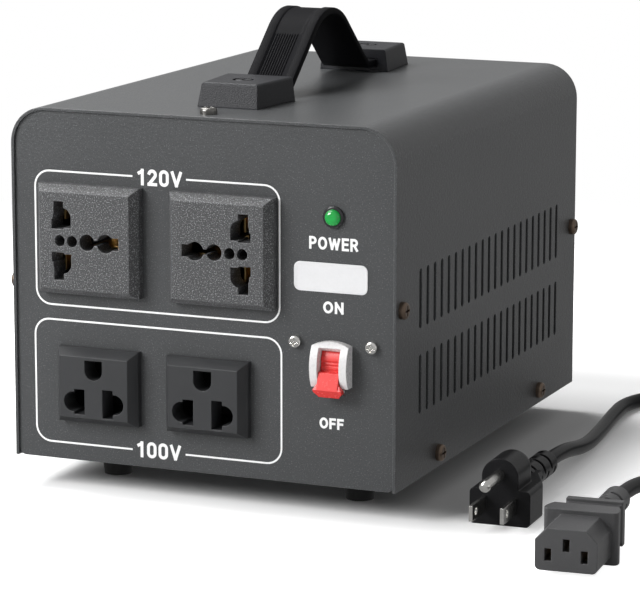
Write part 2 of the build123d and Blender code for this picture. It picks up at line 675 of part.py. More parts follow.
def make_shell(x, z, width, height):
    """The closed box behind a socket's face."""
    start = PANEL_BACK_Y + FACE_NECK_BEHIND
    shell = centred_block(x, z, width, height, start, SHELL_DEPTH)
    inner_width = width - 2 * SHELL_WALL
    inner_height = height - 2 * SHELL_WALL
    return shell - centred_block(x, z, inner_width, inner_height, start, SHELL_DEPTH - SHELL_WALL)


def spring_contact(x, z, gap, span, depth, upright):
    """A folded contact whose two leaves stand a gap apart, with a tail out of the back of the shell."""
    shell_back = PANEL_BACK_Y + FACE_NECK_BEHIND + SHELL_DEPTH
    web_back = shell_back - SHELL_WALL
    web_front = web_back - CONTACT_SHEET
    front = web_back - depth
    width, height = (gap + 2 * CONTACT_SHEET, span) if upright else (span, gap + 2 * CONTACT_SHEET)
    clip = centred_block(x, z, width, height, front, web_back - front)
    hollow_width, hollow_height = (gap, 2 * span) if upright else (2 * span, gap)
    clip -= centred_block(x, z, hollow_width, hollow_height, front - depth, web_front - front + depth)
    tail = centred_block(x, z, CONTACT_SHEET, CONTACT_TAIL_WIDTH, web_back, CONTACT_TAIL)
    return clip + tail


def make_universal_contacts(x, hand):
    z = BASE_Z + UNIVERSAL_HEIGHT
    clip_x, clip_z = BLADE_CLIP_PLACE
    depth = UNIVERSAL_CLIP_DEPTH
    contacts = [
        spring_contact(x + hand * clip_x, z + way * clip_z, BLADE_CLIP_GAP, BLADE_CLIP_SPAN, depth, True)
        for way in (-1, 1)
    ]
    earth_x = x + hand * EARTH_CLIP_PLACE
    contacts.append(spring_contact(earth_x, z, EARTH_CLIP_GAP, EARTH_CLIP_SPAN, depth, False))
    return contacts


def make_us_face(x):
    z = BASE_Z + US_HEIGHT
    plate = bevelled_plate(
        x, z, US_WIDTH, US_HEIGHT_SIZE, US_BEVEL_IN, US_BEVEL_DEEP, US_PROUD, US_NECK_WIDTH, US_NECK_HEIGHT
    )
    plate -= square_hole(x, z, -US_GROUND_RADIUS, US_GROUND_RADIUS, US_GROUND_RISE, US_GROUND_TOP)
    plate -= round_hole(x, z + US_GROUND_RISE, US_GROUND_RADIUS)
    plate -= [square_hole(x, z, *hole) for hole in US_BLADE_HOLES]
    return plate - [
        round_hole(x + side * US_ROUND_SPREAD, z - US_ROUND_DROP, BLADE_ROUND_RADIUS) for side in (-1, 1)
    ]


def make_us_contacts(x):
    z = BASE_Z + US_HEIGHT
    depth = US_CLIP_DEPTH
    contacts = [
        spring_contact(x + side * US_CLIP_SPREAD, z - US_CLIP_DROP, US_CLIP_GAP, US_CLIP_SPAN, depth, True)
        for side in (-1, 1)
    ]
    ground_z = z + US_GROUND_RISE
    contacts.append(spring_contact(x, ground_z, US_GROUND_CLIP_GAP, US_GROUND_CLIP_SPAN, depth, True))
    return contacts


# Power lamp

def make_lamp_bezel():
    centre_z = BASE_Z + LAMP_HEIGHT
    front = PANEL_FRONT_Y - LAMP_BEZEL_PROUD
    flange = rod(LAMP_BEZEL_RADIUS, (BREAKER_X, front, centre_z), (0, 1, 0), LAMP_BEZEL_PROUD)
    flange = chamfer(flange.edges().sort_by(Axis.Y)[0], LAMP_BEZEL_PROUD / 3)
    neck = rod(LAMP_NECK_RADIUS, (BREAKER_X, PANEL_FRONT_Y, centre_z), (0, 1, 0), LAMP_BEHIND)
    bore = rod(LAMP_LENS_RADIUS, (BREAKER_X, front, centre_z), (0, 1, 0), LAMP_BEHIND + 2 * LAMP_BEZEL_PROUD)
    return flange + neck - bore


def make_lamp_lens():
    centre_z = BASE_Z + LAMP_HEIGHT
    front = PANEL_FRONT_Y - LAMP_PROUD
    lens = rod(LAMP_LENS_RADIUS, (BREAKER_X, front, centre_z), (0, 1, 0), LAMP_BEHIND + LAMP_PROUD)
    return fillet(lens.edges().sort_by(Axis.Y)[0], LAMP_PROUD - LAMP_BEZEL_PROUD)


# Breaker. Outlines in this section are (forward of the pivot, above the pivot)

def from_pivot(points):
    return [(PIVOT_Y - forward, PIVOT_Z + up) for forward, up in points]


def polar(radius, degrees):
    return (radius * math.cos(math.radians(degrees)), radius * math.sin(math.radians(degrees)))


def breaker_nose_block(y_from, length):
    """The nose's outline from the front, with its arched top."""
    half = BREAKER_NOSE_WIDTH / 2
    low = BASE_Z + BREAKER_NOSE_LOW
    high = BASE_Z + BREAKER_NOSE_HIGH
    top = ThreePointArc(
        (BREAKER_X + half, y_from, high),
        (BREAKER_X, y_from, high + BREAKER_ARCH),
        (BREAKER_X - half, y_from, high),
    )
    rest = Polyline(
        (BREAKER_X - half, y_from, high),
        (BREAKER_X - half, y_from, low),
        (BREAKER_X + half, y_from, low),
        (BREAKER_X + half, y_from, high),
    )
    return extrude(make_face([top, rest]), amount=length, dir=(0, 1, 0))


def breaker_window():
    """The wedge in front of the drum that the lever swings through, open below."""
    reach = 2 * BREAKER_NOSE_RADIUS
    front = PIVOT_Y - PANEL_FRONT_Y
    top = math.tan(math.radians(BREAKER_VISOR_ANGLE))
    points = [(front, front * top), (reach, reach * top), (reach, -reach), (front, -reach)]
    half = BREAKER_WINDOW_WIDTH / 2
    return outline_along_x(from_pivot(points), BREAKER_X - half, BREAKER_WINDOW_WIDTH)


def make_breaker_housing():
    half = BREAKER_NOSE_WIDTH / 2
    nose = breaker_nose_block(PIVOT_Y - BREAKER_NOSE_RADIUS, BREAKER_NOSE_RADIUS - PIVOT_Y + PANEL_BACK_Y)
    nose &= rod(BREAKER_NOSE_RADIUS, (BREAKER_X - half, PIVOT_Y, PIVOT_Z), (1, 0, 0), BREAKER_NOSE_WIDTH)
    body_width = BREAKER_BODY_WIDTH
    body = centred_block(
        BREAKER_X, PIVOT_Z, body_width, 2 * BREAKER_BODY_HALF_HEIGHT, PANEL_BACK_Y, BREAKER_BODY_DEPTH
    )
    lugs = centred_block(
        BREAKER_X,
        BASE_Z + BREAKER_SCREW_HEIGHT,
        body_width + 2 * BREAKER_LUG_REACH,
        BREAKER_LUG_HEIGHT,
        PANEL_BACK_Y,
        BREAKER_LUG_THICKNESS,
    )
    window_left = BREAKER_X - BREAKER_WINDOW_WIDTH / 2
    cavity = rod(
        BREAKER_DRUM_RADIUS + BREAKER_DRUM_CLEARANCE,
        (window_left, PIVOT_Y, PIVOT_Z),
        (1, 0, 0),
        BREAKER_WINDOW_WIDTH,
    )
    bore_length = BREAKER_WINDOW_WIDTH + 2 * BREAKER_TRUNNION_REACH + 2 * BREAKER_DRUM_CLEARANCE
    bore = rod(
        BREAKER_TRUNNION_RADIUS + BREAKER_TRUNNION_CLEARANCE,
        (BREAKER_X - bore_length / 2, PIVOT_Y, PIVOT_Z),
        (1, 0, 0),
        bore_length,
    )
    return nose + body + lugs - cavity - breaker_window() - bore


def make_breaker_lever():
    half = BREAKER_LEVER_WIDTH / 2
    left = BREAKER_X - half
    drum = rod(BREAKER_DRUM_RADIUS, (left, PIVOT_Y, PIVOT_Z), (1, 0, 0), BREAKER_LEVER_WIDTH)
    groove_radius = BREAKER_DRUM_RADIUS + BREAKER_DRUM_CLEARANCE
    for angle in GROOVE_ANGLES:
        forward, up = polar(groove_radius, angle)
        drum -= rod(GROOVE_RADIUS, (left, PIVOT_Y - forward, PIVOT_Z + up), (1, 0, 0), BREAKER_LEVER_WIDTH)
    start, end = LEVER_ROOT_ANGLES
    root = [polar(LEVER_ROOT_RADIUS, start), LEVER_NECK, *PADDLE_TIP, polar(LEVER_ROOT_RADIUS, end)]
    paddle = outline_along_x(from_pivot(root), left, BREAKER_LEVER_WIDTH)
    wide = outline_along_x(from_pivot(FLARE), BREAKER_X - PADDLE_WIDTH / 2, PADDLE_WIDTH)
    outer = PADDLE_WIDTH / 2
    inner = outer - PADDLE_CHAMFER
    top = PIVOT_Z + FLARE_TOP
    high, low = (PIVOT_Z + height for height in FLARE_WIDE)
    below = PIVOT_Z + FLARE_LOW
    plan = [
        (BREAKER_X - half, top),
        (BREAKER_X + half, top),
        (BREAKER_X + outer, high),
        (BREAKER_X + outer, low),
        (BREAKER_X + inner, below),
        (BREAKER_X - inner, below),
        (BREAKER_X - outer, low),
        (BREAKER_X - outer, high),
    ]
    wide &= outline_along_y(plan, PIVOT_Y - 2 * BREAKER_NOSE_RADIUS, 2 * BREAKER_NOSE_RADIUS)
    length = BREAKER_LEVER_WIDTH + 2 * BREAKER_TRUNNION_REACH
    trunnion = rod(BREAKER_TRUNNION_RADIUS, (BREAKER_X - length / 2, PIVOT_Y, PIVOT_Z), (1, 0, 0), length)
    return drum + paddle + wide + trunnion


def make_breaker_bracket():
    """A strap that holds the breaker's lugs against the panel and goes round the back of its body."""
    z = BASE_Z + BREAKER_SCREW_HEIGHT
    start = PANEL_BACK_Y + BREAKER_LUG_THICKNESS
    ears_width = 2 * BREAKER_SCREW_SPREAD + 2 * BREAKER_LUG_REACH
    body_back = PANEL_BACK_Y + BREAKER_BODY_DEPTH
    strap_width = BREAKER_BODY_WIDTH + 2 * BREAKER_STRAP_SHEET
    ears = centred_block(BREAKER_X, z, ears_width, BREAKER_LUG_HEIGHT, start, BREAKER_STRAP_SHEET)
    strap = centred_block(
        BREAKER_X, z, strap_width, BREAKER_LUG_HEIGHT, start, body_back - start + BREAKER_STRAP_SHEET
    )
    hollow = centred_block(BREAKER_X, z, BREAKER_BODY_WIDTH, 2 * BREAKER_LUG_HEIGHT, start, body_back - start)
    bracket = ears + strap - hollow
    for side in (-1, 1):
        x = BREAKER_X + side * BREAKER_SCREW_SPREAD
        bracket -= rod(BREAKER_SCREW_SHANK_RADIUS, (x, start, z), (0, 1, 0), 2 * BREAKER_STRAP_SHEET)
    return bracket


def make_breaker_screws():
    z = BASE_Z + BREAKER_SCREW_HEIGHT
    return [
        screw(
            facing((BREAKER_X + side * BREAKER_SCREW_SPREAD, PANEL_FRONT_Y, z), (0, -1, 0)),
            BREAKER_SCREW_HEAD_RADIUS,
            BREAKER_SCREW_HEAD_HEIGHT,
            BREAKER_SCREW_SHANK_RADIUS,
            BREAKER_SCREW_LENGTH,
        )
        for side in (-1, 1)
    ]


# Carrying strap

def strap_points(offset):
    """The strap's line at an offset above its middle, from the apex to one end, as (y, z) from the middle."""
    turn = math.radians(STRAP_ANGLE)
    foot_centre = STRAP_END_ABOVE + STRAP_FOOT_RADIUS
    both_radii = STRAP_APEX_RADIUS + STRAP_FOOT_RADIUS
    leg_run = STRAP_FOOT_Y - both_radii * math.sin(turn)
    apex_centre = foot_centre - both_radii * math.cos(turn) + leg_run * math.tan(turn)
    outer = STRAP_APEX_RADIUS + offset
    inner = STRAP_FOOT_RADIUS - offset
    return {
        "apex": (0, apex_centre + outer),
        "shoulder": (outer * math.sin(turn), apex_centre + outer * math.cos(turn)),
        "knee": (STRAP_FOOT_Y - inner * math.sin(turn), foot_centre - inner * math.cos(turn)),
        "bend": (STRAP_FOOT_Y - inner * math.sin(turn / 2), foot_centre - inner * math.cos(turn / 2)),
        "foot": (STRAP_FOOT_Y, foot_centre - inner),
        "end": (CAP_MOUTH_Y, foot_centre - inner),
    }


def strap_edge(offset, x):
    """The strap's whole line from one mouth to the other, at an offset above its middle."""
    p = strap_points(offset)

    def at(name, side):
        y, z = p[name]
        return (x, MIDDLE_Y + side * y, TOP_Z + z)

    return [
        Line(at("end", -1), at("foot", -1)),
        ThreePointArc(at("foot", -1), at("bend", -1), at("knee", -1)),
        Line(at("knee", -1), at("shoulder", -1)),
        ThreePointArc(at("shoulder", -1), at("apex", 1), at("shoulder", 1)),
        Line(at("shoulder", 1), at("knee", 1)),
        ThreePointArc(at("knee", 1), at("bend", 1), at("foot", 1)),
        Line(at("foot", 1), at("end", 1)),
    ]


def strap_band(low, high, x_from, width):
    upper = strap_edge(high, x_from)
    lower = strap_edge(low, x_from)
    ends = [Line(lower[0] @ 0, upper[0] @ 0), Line(lower[-1] @ 1, upper[-1] @ 1)]
    return extrude(make_face(upper + lower + ends), amount=width, dir=(1, 0, 0))


def make_handle_strap():
    half = STRAP_THICKNESS / 2
    strap = strap_band(-half, half, -STRAP_WIDTH / 2, STRAP_WIDTH)
    recess_width = STRAP_WIDTH - 2 * STRAP_LIP
    return strap - strap_band(half - STRAP_RECESS, half + STRAP_RECESS, -recess_width / 2, recess_width)


def make_tongue(side):
    """One end of the strap, slotted round the cap's screw so that it can slide further in."""
    mouth = MIDDLE_Y + side * CAP_MOUTH_Y
    end = mouth + side * TONGUE_LENGTH
    half = STRAP_THICKNESS / 2
    low = TOP_Z + STRAP_END_ABOVE - half
    tongue = block(
        (-STRAP_WIDTH / 2, min(mouth, end), low), (STRAP_WIDTH / 2, max(mouth, end), low + STRAP_THICKNESS)
    )
    screw_y = mouth + side * (CAP_LENGTH - CAP_SCREW_FROM_END)
    slack = screw_y - side * TONGUE_TRAVEL
    radius = CAP_SCREW_SHANK_RADIUS + TONGUE_CLEARANCE
    cutters = [rod(radius, (0, y, low), (0, 0, 1), STRAP_THICKNESS) for y in (screw_y, slack)]
    cutters.append(
        block((-radius, min(screw_y, slack), low), (radius, max(screw_y, slack), low + STRAP_THICKNESS))
    )
    return tongue - cutters


def cap_section(mouth, end, z, mouth_half, end_half):
    """The cap's outline from above, wider at its mouth."""
    return make_face(Polyline(
        (-mouth_half, mouth, z), (mouth_half, mouth, z), (end_half, end, z), (-end_half, end, z), close=True
    ))


def make_handle_cap(side):
    """One end cap of the strap: a leaning block, hollow for the tongue, with a sunk screw."""
    mouth = MIDDLE_Y + side * CAP_MOUTH_Y
    end = mouth + side * CAP_LENGTH
    lean_end = end - side * CAP_LEAN
    top = TOP_Z + CAP_HEIGHT
    wide = CAP_MOUTH_WIDTH / 2
    narrow = CAP_END_WIDTH / 2
    lean_half = narrow + (wide - narrow) * CAP_LEAN / CAP_LENGTH
    foot = cap_section(mouth, end, TOP_Z, wide, narrow)
    crown = cap_section(mouth, lean_end, top, wide - CAP_TAPER, lean_half - CAP_TAPER)
    cap = loft([foot, crown], ruled=True)
    top_edges = [e for e in cap.edges().group_by(Axis.Z)[-1] if abs((e @ 0.5).Y - mouth) > CAP_WALL]
    cap = fillet(top_edges, CAP_EDGE_RADIUS)
    inner_end = end - side * (CAP_LEAN + CAP_WALL)
    hollow_half = STRAP_WIDTH / 2 + TONGUE_CLEARANCE
    tongue_half = STRAP_THICKNESS / 2 + TONGUE_CLEARANCE
    middle = TOP_Z + STRAP_END_ABOVE
    cap -= block(
        (-hollow_half, min(mouth, inner_end), middle - tongue_half),
        (hollow_half, max(mouth, inner_end), middle + tongue_half),
    )
    screw_y = end - side * CAP_SCREW_FROM_END
    cap -= rod(CAP_COUNTERBORE_RADIUS, (0, screw_y, top - CAP_COUNTERBORE_DEPTH), (0, 0, 1), CAP_HEIGHT)
    return cap - rod(CAP_SCREW_SHANK_RADIUS, (0, screw_y, TOP_Z), (0, 0, 1), CAP_HEIGHT)


def make_handle_screws():
    head_z = TOP_Z + CAP_HEIGHT - CAP_COUNTERBORE_DEPTH
    return [
        screw(
            facing((0, y, head_z), (0, 0, 1)),
            CAP_SCREW_HEAD_RADIUS,
            CAP_COUNTERBORE_DEPTH,
            CAP_SCREW_SHANK_RADIUS,
            CAP_HEIGHT - CAP_COUNTERBORE_DEPTH + CAP_SCREW_BELOW,
        )
        for y in STRAP_SCREW_PLACES
    ]


# Mains inlet

def chamfered_outline(x, z, width, height, cut):
    """A box outline with its two top corners cut off."""
    half = width / 2
    low = z - height / 2
    high = z + height / 2
    return [
        (x - half, low),
        (x + half, low),
        (x + half, high - cut),
        (x + half - cut, high),
        (x - half + cut, high),
        (x - half, high - cut),
    ]


def inlet_pin_places():
    z = BASE_Z + INLET_HEIGHT
    live = [(INLET_X + side * INLET_PIN_SPREAD, z - INLET_PIN_OFFSET) for side in (-1, 1)]
    return live + [(INLET_X, z + INLET_PIN_OFFSET)]


def make_inlet_pins():
    outer = REAR_PANEL_OUT_Y + INLET_FLANGE_THICKNESS - INLET_PIN_SET_BACK
    inner = INLET_TAIL_Y
    return [
        centred_block(x, z, INLET_PIN_THICKNESS, INLET_PIN_HEIGHT, inner, outer - inner)
        for x, z in inlet_pin_places()
    ]


def make_inlet_body():
    z = BASE_Z + INLET_HEIGHT
    outer = REAR_PANEL_OUT_Y + INLET_FLANGE_THICKNESS
    flange = centred_block(
        INLET_X, z, INLET_FLANGE_WIDTH, INLET_FLANGE_HEIGHT, REAR_PANEL_OUT_Y, INLET_FLANGE_THICKNESS
    )
    flange = fillet(flange.edges().filter_by(Axis.Y), PANEL_CORNER_RADIUS)
    depth = INLET_BODY_DEPTH - INLET_FLANGE_THICKNESS
    body = centred_block(INLET_X, z, INLET_BODY_WIDTH, INLET_BODY_HEIGHT, REAR_PANEL_OUT_Y - depth, depth)
    recess = outline_along_y(
        chamfered_outline(INLET_X, z, INLET_RECESS_WIDTH, INLET_RECESS_HEIGHT, INLET_RECESS_CHAMFER),
        outer - INLET_RECESS_DEPTH,
        INLET_RECESS_DEPTH,
    )
    inlet = flange + body - recess - make_inlet_pins()
    for side in (-1, 1):
        x = INLET_X + side * INLET_SCREW_SPREAD
        inlet -= rod(SMALL_SCREW_SHANK_RADIUS, (x, REAR_PANEL_OUT_Y, z), (0, 1, 0), INLET_FLANGE_THICKNESS)
    return inlet


def rear_screws(centre_x, spread, thickness):
    z = BASE_Z + INLET_HEIGHT
    return [
        screw(
            facing((centre_x + side * spread, REAR_PANEL_OUT_Y + thickness, z), (0, 1, 0)),
            SMALL_SCREW_HEAD_RADIUS,
            SMALL_SCREW_HEAD_HEIGHT,
            SMALL_SCREW_SHANK_RADIUS,
            SMALL_SCREW_LENGTH,
        )
        for side in (-1, 1)
    ]


# Input voltage selector

def make_selector_body():
    z = BASE_Z + SELECTOR_HEIGHT
    thickness = SELECTOR_PLATE_THICKNESS
    plate = centred_block(
        SELECTOR_X, z, SELECTOR_PLATE_WIDTH, SELECTOR_PLATE_HEIGHT, REAR_PANEL_OUT_Y, thickness
    )
    plate = fillet(plate.edges().filter_by(Axis.Y), PANEL_CORNER_RADIUS)
    body = centred_block(
        SELECTOR_X,
        z,
        SELECTOR_BODY_WIDTH,
        SELECTOR_BODY_HEIGHT,
        REAR_PANEL_OUT_Y - SELECTOR_BODY_DEPTH,
        SELECTOR_BODY_DEPTH,
    )
    pocket = centred_block(
        SELECTOR_X,
        z,
        SELECTOR_WINDOW_WIDTH,
        SELECTOR_WINDOW_HEIGHT,
        REAR_PANEL_OUT_Y - SELECTOR_POCKET_DEPTH,
        SELECTOR_POCKET_DEPTH + thickness,
    )
    selector = plate + body - pocket
    for side in (-1, 1):
        x = SELECTOR_X + side * SELECTOR_SCREW_SPREAD
        selector -= rod(SMALL_SCREW_SHANK_RADIUS, (x, REAR_PANEL_OUT_Y, z), (0, 1, 0), thickness)
    return selector


def make_selector_slider():
    """The knob, at the end of its slot that is nearer the middle of the case."""
    z = BASE_Z + SELECTOR_HEIGHT
    x = SELECTOR_X - SELECTOR_TRAVEL / 2
    bottom = REAR_PANEL_OUT_Y - SELECTOR_POCKET_DEPTH
    top = REAR_PANEL_OUT_Y + SELECTOR_PLATE_THICKNESS + SELECTOR_KNOB_PROUD
    knob = centred_block(x, z, SELECTOR_KNOB_WIDTH, SELECTOR_KNOB_HEIGHT, bottom, top - bottom)
    depth = SELECTOR_NOTCH_DEPTH
    return knob - centred_block(x, z, SELECTOR_NOTCH_WIDTH, 2 * SELECTOR_KNOB_HEIGHT, top - depth, 2 * depth)


# Transformer

def ring(inner, outer, z_low, z_high):
    solid = rod(outer, (0, TOROID_Y, z_low), (0, 0, 1), z_high - z_low)
    return solid - rod(inner, (0, TOROID_Y, z_low), (0, 0, 1), z_high - z_low)


WINDING_LOW = BASE_TOP_Z + PAD_THICKNESS
WINDING_HIGH = WINDING_LOW + WINDING_HEIGHT
UPPER_PAD_HIGH = WINDING_HIGH + PAD_THICKNESS


def make_toroid_core():
    inner = WINDING_INNER_RADIUS + WINDING_THICKNESS
    outer = WINDING_OUTER_RADIUS - WINDING_THICKNESS
    return ring(inner, outer, WINDING_LOW + WINDING_THICKNESS, WINDING_HIGH - WINDING_THICKNESS)


def make_toroid_winding():
    solid = ring(WINDING_INNER_RADIUS, WINDING_OUTER_RADIUS, WINDING_LOW, WINDING_HIGH)
    solid = fillet(solid.edges().filter_by(GeomType.CIRCLE), WINDING_EDGE_RADIUS)
    return solid - make_toroid_core()


def make_toroid_washer():
    """A plate that presses the upper pad down, with a sunk middle for the nut."""
    plate = ring(BOLT_RADIUS, WASHER_RADIUS, UPPER_PAD_HIGH, UPPER_PAD_HIGH + WASHER_SHEET)
    top = UPPER_PAD_HIGH + WASHER_SHEET
    return plate - rod(WASHER_DISH_RADIUS, (0, TOROID_Y, top - WASHER_DISH_DEPTH), (0, 0, 1), WASHER_SHEET)


def make_toroid_bolt():
    head = Pos(0, TOROID_Y, BASE_Z - BOLT_HEAD_HEIGHT) * extrude(
        RegularPolygon(BOLT_HEAD_ACROSS / 2, 6, major_radius=False), amount=BOLT_HEAD_HEIGHT
    )
    top = UPPER_PAD_HIGH + WASHER_SHEET + NUT_HEIGHT + BOLT_ABOVE_NUT
    return head + rod(BOLT_RADIUS, (0, TOROID_Y, BASE_Z), (0, 0, 1), top - BASE_Z)


def make_toroid_nut():
    low = UPPER_PAD_HIGH + WASHER_SHEET - WASHER_DISH_DEPTH
    nut = Pos(0, TOROID_Y, low) * extrude(
        RegularPolygon(BOLT_HEAD_ACROSS / 2, 6, major_radius=False), amount=NUT_HEIGHT
    )
    return nut - rod(BOLT_RADIUS, (0, TOROID_Y, low), (0, 0, 1), NUT_HEIGHT)


def make_terminal_block():
    half = TERMINAL_WIDTH / 2
    low = TERMINAL_Y - TERMINAL_DEPTH / 2
    body = block((-half, low, BASE_TOP_Z), (half, low + TERMINAL_DEPTH, BASE_TOP_Z + TERMINAL_HEIGHT))
    pitch = TERMINAL_WIDTH / TERMINAL_WAYS
    top = BASE_TOP_Z + TERMINAL_HEIGHT
    entry_z = BASE_TOP_Z + TERMINAL_HEIGHT / 3
    radius = TERMINAL_HOLE_RADIUS
    for n in range(TERMINAL_WAYS):
        x = -half + pitch * (n + 1 / 2)
        body -= rod(radius, (x, low, entry_z), (0, 1, 0), TERMINAL_DEPTH)
        body -= rod(radius, (x, TERMINAL_Y, top), (0, 0, -1), TERMINAL_HEIGHT / 3)
    return body


# Plug and connector. Both are made along +Y from their face and then turned to where they lie

def laid(shape, face, heading):
    return Pos(face[0], face[1]) * (Rot(Z=heading - 90) * shape)


def along_heading(face, heading, distance, z):
    angle = math.radians(heading)
    return (face[0] + distance * math.cos(angle), face[1] + distance * math.sin(angle), z)


def windowed_relief(start, length, height):
    """A strain relief with staggered windows, two opposite ones in each row, each row turned a quarter."""
    relief = rod(RELIEF_RADIUS, (0, start, height), (0, 1, 0), length)
    relief = fillet(relief.edges().sort_by(Axis.Y)[-1], RELIEF_END_ROUND)
    rows = int((length - RELIEF_ROOT) / RELIEF_PITCH)
    for row in range(rows):
        y = start + RELIEF_ROOT + RELIEF_PITCH * row + RELIEF_WINDOW_WIDTH / 2
        for turn in (0, 180):
            angle = math.radians(RELIEF_WINDOW_ANGLE + 90 * row + turn)
            outward = Vector(math.sin(angle), 0, math.cos(angle))
            floor = Vector(0, y, height) + outward * (RELIEF_RADIUS - RELIEF_WINDOW_DEPTH)
            place = Plane(origin=floor, x_dir=(math.cos(angle), 0, -math.sin(angle)), z_dir=outward)
            window = place * SlotOverall(RELIEF_WINDOW_LENGTH, RELIEF_WINDOW_WIDTH)
            relief -= extrude(window, amount=RELIEF_RADIUS)
    return relief


def make_plug_pins():
    blade_z = BLADE_AXIS_HEIGHT
    hole_y = BLADE_HOLE_FROM_TIP - BLADE_LENGTH
    pins = []
    for side in (-1, 1):
        x = side * BLADE_SPREAD
        length = BLADE_LENGTH + BLADE_ROOT
        blade = centred_block(x, blade_z, BLADE_THICKNESS, BLADE_HEIGHT, -BLADE_LENGTH, length)
        hole_start = (x - BLADE_SPREAD / 2, hole_y, blade_z)
        pins.append(blade - rod(BLADE_HOLE_RADIUS, hole_start, (1, 0, 0), BLADE_SPREAD))
    tip = (0, -GROUND_PIN_LENGTH, blade_z + GROUND_PIN_ABOVE)
    ground = rod(GROUND_PIN_RADIUS, tip, (0, 1, 0), GROUND_PIN_LENGTH + BLADE_ROOT)
    pins.append(fillet(ground.edges().sort_by(Axis.Y)[0], GROUND_PIN_ROUND))
    return [laid(pin, PLUG_FACE, PLUG_HEADING) for pin in pins]


def make_plug_body():
    """A flat body with a round crown over the ground pin, a narrower rear and a windowed strain relief."""
    half = PLUG_WIDTH / 2
    crown = PLUG_CROWN_RADIUS
    crown_z = PLUG_HEIGHT - crown
    crown_run = PLUG_CROWN_LENGTH - crown
    low = block((-half, 0, 0), (half, PLUG_LENGTH, PLUG_SHOULDER_HEIGHT))
    low = fillet(low.edges().filter_by(Axis.Y), PLUG_CORNER)
    rear = PLUG_REAR_WIDTH / 2
    plan = make_face(Polyline(
        (-half, 0, 0),
        (half, 0, 0),
        (half, PLUG_SQUARE_LENGTH, 0),
        (rear, PLUG_TAPER_LENGTH, 0),
        (rear, PLUG_LENGTH, 0),
        (-rear, PLUG_LENGTH, 0),
        (-rear, PLUG_TAPER_LENGTH, 0),
        (-half, PLUG_SQUARE_LENGTH, 0),
        close=True,
    ))
    low &= extrude(plan, amount=PLUG_HEIGHT)
    under = [
        (PLUG_CROWN_LENGTH, 0),
        (PLUG_LENGTH, 0),
        (PLUG_LENGTH, PLUG_REAR_BOTTOM),
        (PLUG_TAPER_LENGTH, PLUG_REAR_BOTTOM),
    ]
    low -= outline_along_x(under, -PLUG_WIDTH, 2 * PLUG_WIDTH)
    start_z = PLUG_SHOULDER_HEIGHT / 2
    body = low + block((-crown, 0, start_z), (crown, crown_run, crown_z))
    body += rod(crown, (0, 0, crown_z), (0, 1, 0), crown_run)
    body += rod(crown, (0, crown_run, start_z), (0, 0, 1), crown_z - start_z)
    body += Pos(0, crown_run, crown_z) * Sphere(crown)
    relief_start = PLUG_TAPER_LENGTH
    body += windowed_relief(relief_start, PLUG_LENGTH - relief_start + RELIEF_LENGTH, PLUG_AXIS_HEIGHT)
    return laid(body, PLUG_FACE, PLUG_HEADING) - make_plug_pins()


CONNECTOR_AXIS_HEIGHT = NOSE_LIFT + NOSE_HEIGHT / 2


def connector_slot_places():
    low = CONNECTOR_AXIS_HEIGHT - CONNECTOR_SLOT_RISE
    live = [(side * CONNECTOR_SLOT_SPREAD, low) for side in (-1, 1)]
    return live + [(0, CONNECTOR_AXIS_HEIGHT + CONNECTOR_SLOT_RISE)]


def make_connector_contacts():
    """Sleeves at the bottom of the connector's three slots."""
    sleeves = []
    for x, z in connector_slot_places():
        start = CONNECTOR_SLOT_DEPTH - CONNECTOR_SLEEVE_LENGTH
        sleeve = centred_block(
            x, z, CONNECTOR_SLOT_WIDTH, CONNECTOR_SLOT_HEIGHT, start, CONNECTOR_SLOT_DEPTH - start
        )
        hollow = centred_block(
            x,
            z,
            CONNECTOR_SLOT_WIDTH - CONTACT_SHEET,
            CONNECTOR_SLOT_HEIGHT - CONTACT_SHEET,
            start,
            CONNECTOR_SLOT_DEPTH - start - CONTACT_SHEET,
        )
        sleeves.append(laid(sleeve - hollow, CONNECTOR_FACE, CONNECTOR_HEADING))
    return sleeves


def grip_side(side):
    """One side of the grip from above, waisted and flared to a lip at the back."""

    def at(point):
        return (side * point[0], NOSE_LENGTH + point[1])

    half = GRIP_WIDTH / 2
    return [
        Line(at((half, 0)), at((half, GRIP_SQUARE_LENGTH))),
        ThreePointArc(at((half, GRIP_SQUARE_LENGTH)), at(GRIP_SHOULDER), at(GRIP_WAIST_START)),
        ThreePointArc(at(GRIP_WAIST_START), at(GRIP_WAIST), at(GRIP_LIP)),
        Line(at(GRIP_LIP), at((GRIP_LIP[0], GRIP_LENGTH))),
    ]


def make_grip():
    half = GRIP_WIDTH / 2
    grip_end = NOSE_LENGTH + GRIP_LENGTH
    front = Line((-half, NOSE_LENGTH), (half, NOSE_LENGTH))
    back = Line((-GRIP_LIP[0], grip_end), (GRIP_LIP[0], grip_end))
    plan = make_face([front, back] + grip_side(-1) + grip_side(1))
    grip = extrude(plan, amount=2 * GRIP_HEIGHT)
    grip = fillet(grip.edges().filter_by(Axis.Z).group_by(Axis.Y)[0], GRIP_CORNER)
    middle = CONNECTOR_AXIS_HEIGHT
    lip_start = grip_end - GRIP_LIP_LENGTH
    flat_end = NOSE_LENGTH + GRIP_FLAT_LENGTH
    waist = NOSE_LENGTH + GRIP_WAIST[1]
    side_view = [
        (NOSE_LENGTH, GRIP_HEIGHT / 2),
        (flat_end, GRIP_HEIGHT / 2),
        (waist, GRIP_WAIST_HEIGHT / 2),
        (lip_start, GRIP_WAIST_HEIGHT / 2),
        (lip_start, GRIP_LIP_HEIGHT / 2),
        (grip_end, GRIP_LIP_HEIGHT / 2),
    ]
    outline = [(y, middle + z) for y, z in side_view]
    outline += [(y, middle - z) for y, z in reversed(side_view)]
    return grip & outline_along_x(outline, -GRIP_WIDTH, 2 * GRIP_WIDTH)


